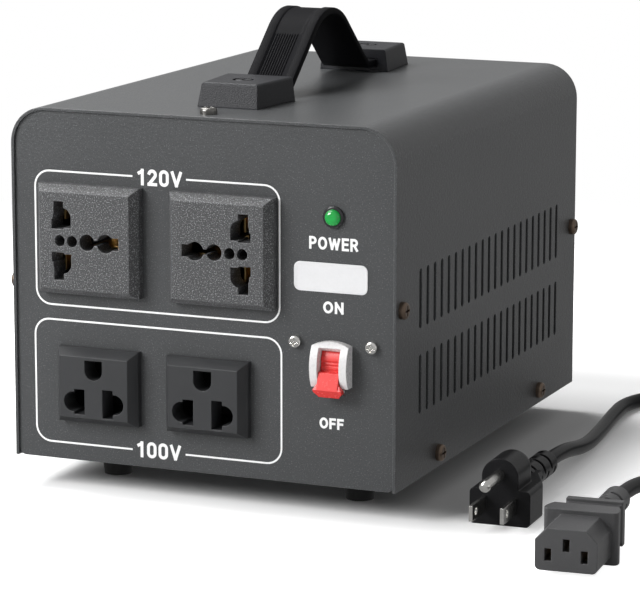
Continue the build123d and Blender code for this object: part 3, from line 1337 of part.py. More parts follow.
def make_connector_body():
    """A keyed nose with three slots, a waisted grip and a windowed strain relief."""
    nose_outline = chamfered_outline(0, CONNECTOR_AXIS_HEIGHT, NOSE_WIDTH, NOSE_HEIGHT, NOSE_CHAMFER)
    nose = outline_along_y(nose_outline, 0, NOSE_LENGTH)
    nose = fillet(nose.edges().filter_by(Axis.Y).group_by(Axis.Z)[0], NOSE_CORNER)
    for x, z in connector_slot_places():
        nose -= centred_block(x, z, CONNECTOR_SLOT_WIDTH, CONNECTOR_SLOT_HEIGHT, 0, CONNECTOR_SLOT_DEPTH)
    relief = windowed_relief(NOSE_LENGTH + GRIP_LENGTH, CONNECTOR_RELIEF_LENGTH, CONNECTOR_AXIS_HEIGHT)
    return laid(nose + make_grip() + relief, CONNECTOR_FACE, CONNECTOR_HEADING)


# Cord

def coil_point(turned):
    """A point of the coil and its direction there. turned is the angle wound so far, in degrees."""
    total = 360 * COIL_TURNS
    middle = total / 2
    angle = math.radians(COIL_START_ANGLE - turned)
    away = math.radians(abs(turned - middle))
    mean_away = math.radians(total) / 4
    per_radian = COIL_PITCH / (2 * math.pi)
    radius = COIL_MIDDLE_RADIUS + per_radian * (away - mean_away)
    outward = 0 if turned == middle else math.copysign(per_radian, turned - middle)
    climb = min(max((turned - middle) / COIL_CLIMB_ANGLE + 1 / 2, 0), 1)
    rise = COIL_LAYER_STEP * climb * climb * (3 - 2 * climb)
    slope = COIL_LAYER_STEP * 6 * climb * (1 - climb) / math.radians(COIL_CLIMB_ANGLE)
    point = Vector(
        COIL_CENTRE[0] + radius * math.cos(angle), COIL_CENTRE[1] + radius * math.sin(angle), COIL_REST + rise
    )
    direction = Vector(
        outward * math.cos(angle) + radius * math.sin(angle),
        outward * math.sin(angle) - radius * math.cos(angle),
        slope,
    )
    return point, direction.normalized()


def biarc(start, start_way, end, end_way):
    """Two arcs that leave start and reach end in the given directions."""
    span = end - start
    both = start_way + end_way
    a = 2 * (start_way.dot(end_way) - 1)
    b = -2 * span.dot(both)
    c = span.dot(span)
    reach = (-b - math.sqrt(b * b - 4 * a * c)) / (2 * a)
    joint = (start + start_way * reach + end - end_way * reach) * 0.5
    first = Edge.make_tangent_arc(start, start_way, joint)
    return [first, Edge.make_tangent_arc(joint, first % 1, end)]


def coil_edges():
    total = 360 * COIL_TURNS
    arcs = int(total / 2 / COIL_ARC_ANGLE)
    inner = [total / 2 + COIL_ARC_ANGLE * n for n in range(-arcs, arcs + 1)]
    stops = [0] + inner + [total]
    nodes = [coil_point(turned) for turned in stops]
    first, first_way = nodes[0]
    last, last_way = nodes[-1]
    edges = [Edge.make_line(first - first_way * COIL_END_LENGTH, first)]
    for (start, start_way), (end, end_way) in zip(nodes, nodes[1:]):
        edges += biarc(start, start_way, end, end_way)
    return edges + [Edge.make_line(last, last + last_way * COIL_END_LENGTH)]


COIL_START = coil_point(0)
COIL_END = coil_point(360 * COIL_TURNS)
COIL_IN = COIL_START[0] - COIL_START[1] * COIL_END_LENGTH
COIL_OUT = COIL_END[0] + COIL_END[1] * COIL_END_LENGTH


def plug_route():
    """The cord from the plug to the coil, laid by hand as the photograph shows it."""
    reach = PLUG_LENGTH + RELIEF_LENGTH
    relief_end = along_heading(PLUG_FACE, PLUG_HEADING, reach, PLUG_AXIS_HEIGHT)
    straight = along_heading(PLUG_FACE, PLUG_HEADING, reach + PLUG_STRAIGHT, PLUG_AXIS_HEIGHT)
    before = COIL_IN - COIL_START[1] * COIL_LEAD_IN
    return [relief_end, straight, *PLUG_RUN_POINTS, tuple(before), tuple(COIL_IN)]


def connector_route():
    """The cord from the coil to the connector."""
    reach = NOSE_LENGTH + GRIP_LENGTH + CONNECTOR_RELIEF_LENGTH
    height = CONNECTOR_AXIS_HEIGHT
    relief_end = along_heading(CONNECTOR_FACE, CONNECTOR_HEADING, reach, height)
    straight = along_heading(CONNECTOR_FACE, CONNECTOR_HEADING, reach + CONNECTOR_STRAIGHT, height)
    after = COIL_OUT + COIL_END[1] * COIL_LEAD_OUT
    return [tuple(COIL_OUT), tuple(after), *CONNECTOR_RUN_POINTS, straight, relief_end]


def corner_radii(points):
    """The largest even arc for each corner, from the shorter run beside it and half its turn."""
    radii = []
    for before, corner, after in zip(points, points[1:], points[2:]):
        one = Vector(*corner) - Vector(*before)
        two = Vector(*after) - Vector(*corner)
        half_turn = math.radians(one.get_angle(two)) / 2
        radii.append(ARC_RUN_SHARE * min(one.length, two.length) / math.tan(half_turn))
    return radii


def tube(edges):
    """A round cord along joined edges."""
    path = Wire(edges)
    section = Plane(origin=path @ 0, z_dir=path % 0) * Circle(CORD_RADIUS)
    return sweep(section, path=path), path.length


def print_length(name, solid, length):
    ratio = solid.volume / (math.pi * CORD_RADIUS**2 * length)
    print(name, "length", round(length, 1), "volume against section by length", round(ratio, 4))


def run_tube(points, name):
    radii = corner_radii(points)
    print(name, "arc radii in mm:", [round(r, 1) for r in radii])
    edges = FilletPolyline(*points, radius=radii).edges()
    solid, length = tube(edges)
    print_length(name, solid, length)
    return solid


def coil_gap(edges):
    """The least gap between the coil's turns, measured on points along its middle."""
    path = Wire(edges)
    count = int(path.length / 2)
    points = [path @ (n / count) for n in range(count + 1)]
    skip = int(4 * CORD_RADIUS)
    return min((p - q).length for n, p in enumerate(points) for q in points[n + skip:]) - 2 * CORD_RADIUS


def make_cord_coil():
    edges = coil_edges()
    solid, length = tube(edges)
    print("cord_coil least gap in mm:", round(coil_gap(edges), 2))
    print_length("cord_coil", solid, length)
    return solid


def make_cord_tie():
    """A flat band round all the turns at one place of the coil."""
    total = math.radians(360 * COIL_TURNS)
    swing = COIL_PITCH * total / (8 * math.pi)
    inner = COIL_MIDDLE_RADIUS - swing - CORD_RADIUS - TIE_INNER_SLACK
    outer = COIL_MIDDLE_RADIUS + swing + CORD_RADIUS + TIE_CLEARANCE
    half = TIE_WIDTH / 2
    top = COIL_REST + COIL_LAYER_STEP + CORD_RADIUS + TIE_CLEARANCE
    band = block((inner - TIE_THICKNESS, -half, 0), (outer + TIE_THICKNESS, half, top + TIE_THICKNESS))
    band -= block((inner, -half, TIE_THICKNESS), (outer, half, top))
    return Pos(*COIL_CENTRE) * (Rot(Z=TIE_ANGLE) * band)


def all_nodes():
    nodes = {
        "cover": make_cover(),
        "base_pan": make_base_pan(),
        "front_panel": make_front_panel(),
        "rear_panel": make_rear_panel(),
        "cover_screws_left": make_side_screws(-1),
        "cover_screws_right": make_side_screws(1),
        "cover_screws_top": make_top_screws(),
        "foot_screws": make_foot_screws(),
    }
    for place, (x, y) in FOOT_PLACES.items():
        nodes[f"foot_{place}"] = make_foot(x, y)
    for n, (x, hand) in enumerate(UNIVERSAL_CENTRES, 1):
        contacts = make_universal_contacts(x, hand)
        shell = make_shell(x, BASE_Z + UNIVERSAL_HEIGHT, UNIVERSAL_NECK, UNIVERSAL_NECK)
        nodes[f"universal_face_{n}"] = make_universal_face(x, hand)
        nodes[f"universal_shell_{n}"] = shell - contacts
        nodes[f"universal_contacts_{n}"] = contacts
    for n, x in enumerate(US_CENTRES, 1):
        contacts = make_us_contacts(x)
        shell = make_shell(x, BASE_Z + US_HEIGHT, US_NECK_WIDTH, US_NECK_HEIGHT)
        nodes[f"us_face_{n}"] = make_us_face(x)
        nodes[f"us_shell_{n}"] = shell - contacts
        nodes[f"us_contacts_{n}"] = contacts
    nodes["power_lamp_bezel"] = make_lamp_bezel()
    nodes["power_lamp_lens"] = make_lamp_lens()
    nodes["breaker_housing"] = make_breaker_housing()
    nodes["breaker_lever"] = make_breaker_lever()
    nodes["breaker_bracket"] = make_breaker_bracket()
    nodes["breaker_screws"] = make_breaker_screws()
    nodes["handle_cap_front"] = make_handle_cap(-1)
    nodes["handle_cap_rear"] = make_handle_cap(1)
    nodes["handle_screws"] = make_handle_screws()
    nodes["handle_strap"] = make_handle_strap()
    nodes["strap_tongue_front"] = make_tongue(-1)
    nodes["strap_tongue_rear"] = make_tongue(1)
    nodes["inlet_body"] = make_inlet_body()
    nodes["inlet_pins"] = make_inlet_pins()
    nodes["inlet_screws"] = rear_screws(INLET_X, INLET_SCREW_SPREAD, INLET_FLANGE_THICKNESS)
    nodes["selector_body"] = make_selector_body()
    nodes["selector_slider"] = make_selector_slider()
    nodes["selector_screws"] = rear_screws(SELECTOR_X, SELECTOR_SCREW_SPREAD, SELECTOR_PLATE_THICKNESS)
    nodes["toroid_core"] = make_toroid_core()
    nodes["toroid_winding"] = make_toroid_winding()
    nodes["toroid_pad_lower"] = ring(PAD_HOLE_RADIUS, PAD_RADIUS, BASE_TOP_Z, WINDING_LOW)
    nodes["toroid_pad_upper"] = ring(PAD_HOLE_RADIUS, PAD_RADIUS, WINDING_HIGH, UPPER_PAD_HIGH)
    nodes["toroid_washer"] = make_toroid_washer()
    nodes["toroid_bolt"] = make_toroid_bolt()
    nodes["toroid_nut"] = make_toroid_nut()
    nodes["terminal_block"] = make_terminal_block()
    nodes["plug_body"] = make_plug_body()
    nodes["plug_pins"] = make_plug_pins()
    nodes["connector_body"] = make_connector_body()
    nodes["connector_contacts"] = make_connector_contacts()
    nodes["cord_plug_run"] = run_tube(plug_route(), "cord_plug_run")
    nodes["cord_coil"] = make_cord_coil()
    nodes["cord_connector_run"] = run_tube(connector_route(), "cord_connector_run")
    nodes["cord_tie"] = make_cord_tie()
    return nodes


os.makedirs("parts", exist_ok=True)
for name, shape in all_nodes().items():
    solids = shape if isinstance(shape, list) else [shape]
    export_step(Compound(children=[s for solid in solids for s in solid.solids()]), f"parts/{name}.step")
    print(name, round(sum(s.volume for solid in solids for s in solid.solids()), 1))
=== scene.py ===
import math
import bpy
from mathutils import Matrix, Vector


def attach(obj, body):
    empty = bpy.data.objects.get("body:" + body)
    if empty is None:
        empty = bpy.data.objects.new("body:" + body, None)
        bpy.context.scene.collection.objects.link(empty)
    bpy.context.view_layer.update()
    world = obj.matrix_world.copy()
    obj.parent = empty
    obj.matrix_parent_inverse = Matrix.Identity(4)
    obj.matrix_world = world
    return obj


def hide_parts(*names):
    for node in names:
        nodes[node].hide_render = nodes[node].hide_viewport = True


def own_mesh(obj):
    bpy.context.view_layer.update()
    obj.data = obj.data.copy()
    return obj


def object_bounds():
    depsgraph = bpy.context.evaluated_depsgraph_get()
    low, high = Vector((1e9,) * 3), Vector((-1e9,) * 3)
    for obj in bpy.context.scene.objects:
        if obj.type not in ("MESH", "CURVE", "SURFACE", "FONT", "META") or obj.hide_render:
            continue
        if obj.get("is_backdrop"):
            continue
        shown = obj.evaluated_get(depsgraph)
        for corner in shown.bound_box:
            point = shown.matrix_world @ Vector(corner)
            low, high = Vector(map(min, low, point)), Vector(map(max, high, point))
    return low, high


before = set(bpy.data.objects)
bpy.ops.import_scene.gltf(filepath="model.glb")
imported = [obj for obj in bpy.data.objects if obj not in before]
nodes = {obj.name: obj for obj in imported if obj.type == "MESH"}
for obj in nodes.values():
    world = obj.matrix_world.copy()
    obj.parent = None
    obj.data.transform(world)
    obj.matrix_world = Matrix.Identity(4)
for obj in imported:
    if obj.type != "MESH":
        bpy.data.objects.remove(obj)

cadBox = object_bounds()
mm = 0.001


# Camera, solved from the case's own edges in the picture

camera = {
    "place": (0.52791, -1.24604, 0.33094),
    "yaw": 22.604,
    "pitch": 11.061,
    "roll": 0.101,
    "lens": 180.04,
    "sensor": 36.0,
    "shift": (-0.00979, -0.0073),
    "near": 0.05,
}


def addToScene(name, data):
    piece = bpy.data.objects.new(name, data)
    bpy.context.scene.collection.objects.link(piece)
    return piece


def addCamera(settings):
    lens = bpy.data.cameras.new("viewCamera")
    lens.lens = settings["lens"]
    lens.sensor_width = settings["sensor"]
    lens.shift_x, lens.shift_y = settings["shift"]
    lens.clip_start = settings["near"]
    holder = addToScene("viewCamera", lens)
    turn = Matrix.Rotation(math.radians(settings["yaw"]), 4, "Z")
    tilt = Matrix.Rotation(math.radians(90 - settings["pitch"]), 4, "X")
    lean = Matrix.Rotation(math.radians(settings["roll"]), 4, "Z")
    holder.matrix_world = Matrix.Translation(settings["place"]) @ turn @ tilt @ lean
    bpy.context.scene.camera = holder


addCamera(camera)
print("camera set")


# Shader maths: a Wire is one socket, and sums on it add Math nodes

class Wire:
    def __init__(self, finish, socket):
        self.finish = finish
        self.socket = socket

    def __add__(self, other):
        return self.finish.maths("ADD", self, other)

    def __radd__(self, other):
        return self.finish.maths("ADD", other, self)

    def __sub__(self, other):
        return self.finish.maths("SUBTRACT", self, other)

    def __rsub__(self, other):
        return self.finish.maths("SUBTRACT", other, self)

    def __mul__(self, other):
        return self.finish.maths("MULTIPLY", self, other)

    def __rmul__(self, other):
        return self.finish.maths("MULTIPLY", other, self)

    def __pow__(self, other):
        return self.finish.maths("POWER", self, other)

    def over(self, limit):
        return self.finish.maths("GREATER_THAN", self, limit)

    def under(self, limit):
        return self.finish.maths("LESS_THAN", self, limit)


class Finish:
    edgeSamples = 6
    wearGain = 3.0
    socketNames = {
        "colour": "Base Color",
        "roughness": "Roughness",
        "metallic": "Metallic",
        "specular": "Specular IOR Level",
        "coat": "Coat Weight",
        "coatRoughness": "Coat Roughness",
        "glow": "Emission Color",
        "glowStrength": "Emission Strength",
        "normal": "Normal",
    }

    def __init__(self, name):
        self.material = bpy.data.materials.new(name)
        self.material.use_nodes = True
        self.tree = self.material.node_tree
        self.shader = self.tree.nodes["Principled BSDF"]

    def put(self, socket, value):
        if isinstance(value, Wire):
            self.tree.links.new(value.socket, socket)
        else:
            socket.default_value = value

    def add(self, kind, settings=None, inputs=None, output=0):
        node = self.tree.nodes.new(kind)
        for key, value in (settings or {}).items():
            setattr(node, key, value)
        for key, value in (inputs or {}).items():
            self.put(node.inputs[key], value)
        return Wire(self, node.outputs[output])

    def maths(self, operation, *values):
        return self.add("ShaderNodeMath", {"operation": operation}, dict(enumerate(values)))

    def where(self):
        return self.add("ShaderNodeTexCoord", output="Object")

    def axes(self):
        split = self.tree.nodes.new("ShaderNodeSeparateXYZ")
        self.put(split.inputs[0], self.where())
        return [Wire(self, socket) for socket in split.outputs]

    def grain(self, size, detail=2.0):
        inputs = {"Vector": self.where(), "Scale": 1 / size, "Detail": detail}
        return self.add("ShaderNodeTexNoise", None, inputs)

    def mix(self, share, first, second):
        # a Mix node keeps its colour sockets behind those for numbers and vectors
        return self.add("ShaderNodeMix", {"data_type": "RGBA"}, {0: share, 6: first, 7: second}, 2)

    def softNormal(self, radius):
        return self.add("ShaderNodeBevel", {"samples": self.edgeSamples}, {"Radius": radius})

    def edgeWear(self, radius, grain):
        # where the softened normal leaves the face's own, the surface is near an edge
        flat = self.add("ShaderNodeNewGeometry", output="True Normal")
        normals = {0: self.softNormal(radius), 1: flat}
        facing = self.add("ShaderNodeVectorMath", {"operation": "DOT_PRODUCT"}, normals, "Value")
        return (1 - facing) * self.wearGain * grain

    def bump(self, height, depth, edge=None):
        inputs = {"Height": height, "Distance": depth}
        if edge:
            inputs["Normal"] = self.softNormal(edge)
        return self.add("ShaderNodeBump", None, inputs)

    def set(self, **sockets):
        for key, value in sockets.items():
            self.put(self.shader.inputs[self.socketNames[key]], value)
        return self.material


def rgb(red, green, blue):
    return (red, green, blue, 1.0)


def scaled(colour, share):
    return rgb(*[c * share for c in colour[:3]])


# Finishes: what all of a kind share stands above the kind, and each one's own values are in the table

coating = {
    "cloud": 0.05,
    "tones": (0.92, 1.08),
    # the lighter tone of the painted glints on the grain's peaks and of the worn edges
    "bright": 4.0,
    # painted shade in the grain's pits: its tone and how much of the pits it darkens
    "pitShade": 0.4,
    "pitShadeShare": 0.5,
    "peelShare": 0.7,
    "uneven": 0.08,
}


def powderCoat(name, settings):
    finish = Finish(name)
    peel = finish.grain(settings["peel"])
    fine = finish.grain(settings["fine"], detail=1.0)
    cloud = finish.grain(coating["cloud"], detail=3.0)
    own = settings["colour"]
    limit = settings["paintedGlintLimit"]
    # painted glints: the grain's high points are lightened in the colour, together with the worn edges
    glintAndWear = fine.over(limit) * settings["paintedGlint"] + finish.edgeWear(settings["edge"], peel)
    shade = finish.mix(cloud, *(scaled(own, tone) for tone in coating["tones"]))
    shade = finish.mix(glintAndWear, shade, scaled(own, coating["bright"]))
    # painted shade: the grain's low points, which the bump sinks, are darkened in the colour
    shade = finish.mix(fine.under(1 - limit) * coating["pitShadeShare"], shade, scaled(own, coating["pitShade"]))
    relief = peel * coating["peelShare"] + fine * (1 - coating["peelShare"])
    return finish.set(
        colour=shade,
        roughness=settings["roughness"] + (cloud - 0.5) * coating["uneven"],
        normal=finish.bump(relief, settings["depth"], settings["edge"]),
        specular=settings["specular"],
    )


moulding = {"cloud": 0.02, "tones": (0.88, 1.12), "bright": 2.5, "uneven": 0.12}


def mouldedPlastic(name, settings):
    finish = Finish(name)
    grain = finish.grain(settings["grain"])
    cloud = finish.grain(moulding["cloud"], detail=3.0)
    own = settings["colour"]
    worn = finish.edgeWear(settings["edge"], grain) * settings["wear"]
    shade = finish.mix(cloud, *(scaled(own, tone) for tone in moulding["tones"]))
    return finish.set(
        colour=finish.mix(worn, shade, scaled(own, moulding["bright"])),
        roughness=settings["roughness"] + (grain - 0.5) * moulding["uneven"],
        normal=finish.bump(grain, settings["depth"], settings["edge"]),
        specular=settings["specular"],
    )


plating = {
    "grain": 0.0006,
    "stain": 0.003,
    "tones": (0.7, 1.15),
    "bright": 1.6,
    "uneven": 0.15,
    "edge": 0.0003,
}


def platedMetal(name, own, roughness, depth):
    finish = Finish(name)
    grain = finish.grain(plating["grain"], detail=3.0)
    stain = finish.grain(plating["stain"], detail=3.0)
    worn = finish.edgeWear(plating["edge"], grain)
    shade = finish.mix(stain, *(scaled(own, tone) for tone in plating["tones"]))
    return finish.set(
        colour=finish.mix(worn, shade, scaled(own, plating["bright"])),
        metallic=1.0,
        roughness=roughness + (grain - 0.5) * plating["uneven"],
        normal=finish.bump(grain, depth, plating["edge"]),
    )


def windingWire(name, settings):
    finish = Finish(name)
    x, y = finish.axes()[:2]
    angle = finish.maths("ARCTAN2", y - settings["middle"], x)
    ridge = finish.maths("SINE", angle * settings["turns"]) * 0.5 + 0.5
    patch = finish.grain(settings["patch"])
    own = settings["colour"]
    # painted shade: the colour darkens between the wire's turns, where the bump dips
    shade = finish.mix(ridge, scaled(own, settings["between"]), own)
    return finish.set(
        colour=finish.mix(patch * settings["patchShare"], shade, scaled(own, settings["patchTone"])),
        metallic=settings["metallic"],
        roughness=settings["roughness"] + patch * settings["uneven"],
        normal=finish.bump(ridge, settings["depth"]),
    )


def lampGlass(name, settings):
    finish = Finish(name)
    cloud = finish.grain(settings["cloud"])
    colour = finish.mix(cloud, scaled(settings["colour"], settings["darkTone"]), settings["colour"])
    return finish.set(
        colour=colour,
        roughness=settings["roughness"] + cloud * settings["uneven"],
        glow=colour,
        glowStrength=settings["glow"],
        coat=1.0,
        coatRoughness=settings["coatRoughness"],
        specular=settings["specular"],
    )


def printedWhite(name, settings):
    finish = Finish(name)
    grain = finish.grain(settings["grain"])
    return finish.set(
        colour=finish.mix(grain, *settings["tones"]),
        roughness=settings["roughness"] + grain * settings["uneven"],
        normal=finish.bump(grain, settings["depth"]),
    )


finishes = {
    # the case and socket coats carry painted glints and painted pit shade on their grain
    "case": powderCoat("caseCoat", {
        "colour": rgb(0.052, 0.054, 0.056), "peel": 0.0011, "fine": 0.0005, "depth": 0.0002, "edge": 0.0005,
        "roughness": 0.34, "specular": 0.5, "paintedGlint": 0.45, "paintedGlintLimit": 0.66,
    }),
    "socket": powderCoat("socketMoulding", {
        "colour": rgb(0.054, 0.055, 0.057), "peel": 0.0008, "fine": 0.0005, "depth": 0.00016, "edge": 0.0006,
        "roughness": 0.42, "specular": 0.5, "paintedGlint": 0.9, "paintedGlintLimit": 0.6,
    }),
    "smoothSocket": mouldedPlastic("smoothSocket", {
        "colour": rgb(0.03, 0.031, 0.033), "grain": 0.0009, "depth": 0.00004, "edge": 0.0005,
        "wear": 0.5, "roughness": 0.5, "specular": 0.4,
    }),
    "innerPlastic": mouldedPlastic("innerMoulding", {
        "colour": rgb(0.008, 0.008, 0.009), "grain": 0.0008, "depth": 0.00003, "edge": 0.0003,
        "wear": 0.5, "roughness": 0.5, "specular": 0.4,
    }),
    "cap": mouldedPlastic("capMoulding", {
        "colour": rgb(0.013, 0.0135, 0.0165), "grain": 0.00045, "depth": 0.00012, "edge": 0.0006,
        "wear": 0.8, "roughness": 0.45, "specular": 0.25,
    }),
    "foot": mouldedPlastic("footRubber", {
        "colour": rgb(0.012, 0.012, 0.012), "grain": 0.0006, "depth": 0.00006, "edge": 0.0005,
        "wear": 0.5, "roughness": 0.65, "specular": 0.3,
    }),
    "cord": mouldedPlastic("cordSheath", {
        "colour": rgb(0.008, 0.008, 0.009), "grain": 0.0009, "depth": 0.00003, "edge": 0.0002,
        "wear": 0.2, "roughness": 0.34, "specular": 0.12,
    }),
    "plug": mouldedPlastic("plugMoulding", {
        "colour": rgb(0.008, 0.008, 0.009), "grain": 0.0007, "depth": 0.00006, "edge": 0.0007,
        "wear": 0.6, "roughness": 0.34, "specular": 0.18,
    }),
    "connector": mouldedPlastic("connectorMoulding", {
        "colour": rgb(0.062, 0.062, 0.064), "grain": 0.0007, "depth": 0.00006, "edge": 0.0007,
        "wear": 0.6, "roughness": 0.38, "specular": 0.4,
    }),
    "strap": mouldedPlastic("strapRubber", {
        "colour": rgb(0.004, 0.004, 0.005), "grain": 0.0006, "depth": 0.00004, "edge": 0.0002,
        "wear": 0.3, "roughness": 0.6, "specular": 0.05,
    }),
    "white": mouldedPlastic("whiteMoulding", {
        "colour": rgb(0.62, 0.61, 0.61), "grain": 0.001, "depth": 0.00001, "edge": 0.0004,
        "wear": 0.1, "roughness": 0.28, "specular": 0.5,
    }),
    "red": mouldedPlastic("redMoulding", {
        "colour": rgb(0.68, 0.038, 0.034), "grain": 0.001, "depth": 0.00001, "edge": 0.0004,
        "wear": 0.15, "roughness": 0.26, "specular": 0.5,
    }),
    "terminal": mouldedPlastic("terminalMoulding", {
        "colour": rgb(0.6, 0.58, 0.52), "grain": 0.0008, "depth": 0.00003, "edge": 0.0004,
        "wear": 0.2, "roughness": 0.5, "specular": 0.4,
    }),
    "bezel": mouldedPlastic("bezelMoulding", {
        "colour": rgb(0.02, 0.02, 0.022), "grain": 0.001, "depth": 0.00001, "edge": 0.0003,
        "wear": 0.3, "roughness": 0.18, "specular": 0.6,
    }),
}

# each metal with its material, colour, roughness and depth of grain
platedMetals = {
    "bronze": ("bronzeScrew", rgb(0.2, 0.15, 0.115), 0.4, 0.00004),
    "blackened": ("blackenedScrew", rgb(0.035, 0.035, 0.038), 0.4, 0.00004),
    "dulled": ("dulledScrew", rgb(0.2, 0.195, 0.185), 0.3, 0.00004),
    "nickel": ("nickelScrew", rgb(0.86, 0.85, 0.82), 0.22, 0.00003),
    "steel": ("plainSteel", rgb(0.5, 0.5, 0.5), 0.4, 0.00003),
    "core": ("coreSteel", rgb(0.25, 0.25, 0.27), 0.5, 0.00005),
    "brass": ("contactBrass", rgb(0.85, 0.58, 0.24), 0.3, 0.00003),
    "pin": ("pinMetal", rgb(0.78, 0.77, 0.74), 0.22, 0.00002),
}
finishes.update({finish: platedMetal(*settings) for finish, settings in platedMetals.items()})

# the winding's colour is darkened between its turns as painted shade
finishes["winding"] = windingWire("windingWire", {
    "colour": rgb(0.5, 0.17, 0.06), "turns": 150.0, "middle": 0.012, "between": 0.35, "metallic": 0.5,
    "patch": 0.01, "patchShare": 0.5, "patchTone": 0.6, "roughness": 0.3, "uneven": 0.15, "depth": 0.0006,
})
finishes["lamp"] = lampGlass("lampLens", {
    "colour": rgb(0.006, 0.24, 0.04), "glow": 0.5, "cloud": 0.0015, "darkTone": 0.8,
    "roughness": 0.12, "uneven": 0.05, "coatRoughness": 0.04, "specular": 0.4,
})
finishes["ink"] = printedWhite("printInk", {
    "tones": (rgb(0.74, 0.74, 0.74), rgb(0.84, 0.84, 0.84)),
    "grain": 0.0006, "roughness": 0.5, "uneven": 0.1, "depth": 0.00004,
})
finishes["label"] = printedWhite("labelSheet", {
    "tones": (rgb(0.62, 0.62, 0.63), rgb(0.67, 0.67, 0.68)),
    "grain": 0.0009, "roughness": 0.3, "uneven": 0.08, "depth": 0.00003,
})

nodeFinishes = {
    "case": ["cover", "front_panel", "rear_panel", "base_pan"],
    "bronze": ["cover_screws_left", "cover_screws_right"],
    "blackened": ["handle_screws"],
    "dulled": ["cover_screws_top"],
    "nickel": ["breaker_screws", "inlet_screws", "selector_screws"],
    "steel": ["foot_screws", "breaker_bracket", "toroid_washer", "toroid_bolt", "toroid_nut"],
    "foot": ["foot_front_left", "foot_front_right", "foot_rear_left", "foot_rear_right",
             "toroid_pad_lower", "toroid_pad_upper"],
    "socket": ["universal_face_1", "universal_face_2"],
    "smoothSocket": ["us_face_1", "us_face_2"],
    "innerPlastic": ["universal_shell_1", "universal_shell_2", "us_shell_1", "us_shell_2", "inlet_body",
                     "selector_body"],
    "brass": ["universal_contacts_1", "universal_contacts_2", "connector_contacts"],
    "pin": ["us_contacts_1", "us_contacts_2", "inlet_pins", "plug_pins"],
    "bezel": ["power_lamp_bezel"],
    "lamp": ["power_lamp_lens"],
    "white": ["breaker_housing"],
    "red": ["breaker_lever", "selector_slider"],
    "cap": ["handle_cap_front", "handle_cap_rear", "strap_tongue_front", "strap_tongue_rear"],
    "core": ["toroid_core"],
    "winding": ["toroid_winding"],
    "terminal": ["terminal_block"],
    "plug": ["plug_body", "cord_tie"],
    "connector": ["connector_body"],
}


def dressNodes():
    for finish, names in nodeFinishes.items():
        for name in names:
            slots = nodes[name].data.materials
            slots.clear()
            slots.append(finishes[finish])


dressNodes()
print("materials on the frame's own nodes")


def meshPiece(name, points, faces, material):
    mesh = bpy.data.meshes.new(name)
    mesh.from_pydata(points, [], faces)
    mesh.materials.append(material)
    return addToScene(name, mesh)


def casePiece(name, points, faces, material):
    piece = meshPiece(name, points, faces, material)
    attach(piece, "case")
    return piece


# Cord: one line from the plug, round the put-away coil, to the connector

cordRest = 3.3
cord = {
    "radius": 3.2,
    # each end's face, heading, length of moulding before the cord, height and first straight stretch
    "plugEnd": ((121.6, -92.0), 92.0, 62.0, 11.0, 22.0),
    "connectorEnd": ((169.0, -152.0), 94.0, 81.0, 10.15, 24.0),
    "fromPlug": [
        (118.2, 26.0, 5.0),
        (113.6, 62.0, cordRest),
        (109.5, 92.0, cordRest),
        (107.0, 121.0, cordRest),
        (121.8, 144.6, cordRest),
        (146.1, 156.4, cordRest),
    ],
    "toConnector": [(188.0, 18.0, cordRest), (168.5, -16.0, 5.5)],
    "coilCentre": (178.5, 101.0),
    "coilRadius": 37.5,
    "coilPitch": 7.0,
    "coilStart": 60.0,
    "coilTurns": 3.25,
    "coilRest": 4.1,
    "coilStep": 7.0,
    "climbTurn": 180.0,
    "coilLead": 32.0,
    "coilTail": 28.0,
    "pointsPerTurn": 16,
    "roundSteps": 6,
    "curveSteps": 8,
    "order": 3,
}


def straightOut(end):
    # the cord's first two points out of a plug or a connector
    face, heading, reach, height, straight = end
    angle = math.radians(heading)
    return [
        (face[0] + distance * math.cos(angle), face[1] + distance * math.sin(angle), height)
        for distance in (reach, reach + straight)
    ]


def coilPoint(turned):
    total = 360 * cord["coilTurns"]
    away = math.radians(abs(turned - total / 2) - total / 4)
    # a control point stands a little outside the curve that it bends
    spread = 2 - math.cos(math.pi / cord["pointsPerTurn"]) ** 2
    radius = (cord["coilRadius"] + cord["coilPitch"] / (2 * math.pi) * away) * spread
    angle = math.radians(cord["coilStart"] - turned)
    climb = min(max((turned - total / 2) / cord["climbTurn"] + 0.5, 0), 1)
    height = cord["coilRest"] + cord["coilStep"] * climb * climb * (3 - 2 * climb)
    x, y = cord["coilCentre"]
    return Vector((x + radius * math.cos(angle), y + radius * math.sin(angle), height))


def cordRoute():
    total = 360 * cord["coilTurns"]
    count = round(cord["coilTurns"] * cord["pointsPerTurn"])
    coil = [coilPoint(total * n / count) for n in range(count + 1)]
    lead = coil[0] + (coil[0] - coil[1]).normalized() * cord["coilLead"]
    tail = coil[-1] + (coil[-1] - coil[-2]).normalized() * cord["coilTail"]
    route = straightOut(cord["plugEnd"]) + cord["fromPlug"] + [lead] + coil + [tail]
    route += cord["toConnector"] + straightOut(cord["connectorEnd"])[::-1]
    return [Vector(point) * mm for point in route]


def makeCord():
    curve = bpy.data.curves.new("leadCord", "CURVE")
    curve.dimensions = "3D"
    curve.bevel_depth = cord["radius"] * mm
    curve.bevel_resolution = cord["roundSteps"]
    curve.resolution_u = cord["curveSteps"]
    curve.use_fill_caps = True
    spline = curve.splines.new("NURBS")
    route = cordRoute()
    spline.points.add(len(route) - 1)
    for point, place in zip(spline.points, route):
        point.co = (*place, 1)
    spline.order_u = cord["order"]
    spline.use_endpoint_u = True
    curve.materials.append(finishes["cord"])
    piece = addToScene("leadCord", curve)
    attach(piece, "case")
    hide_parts("cord_plug_run", "cord_coil", "cord_connector_run")
    tuple(route[-1])


makeCord()
print("cord laid")


# White print on the front: words, frames and the bare label

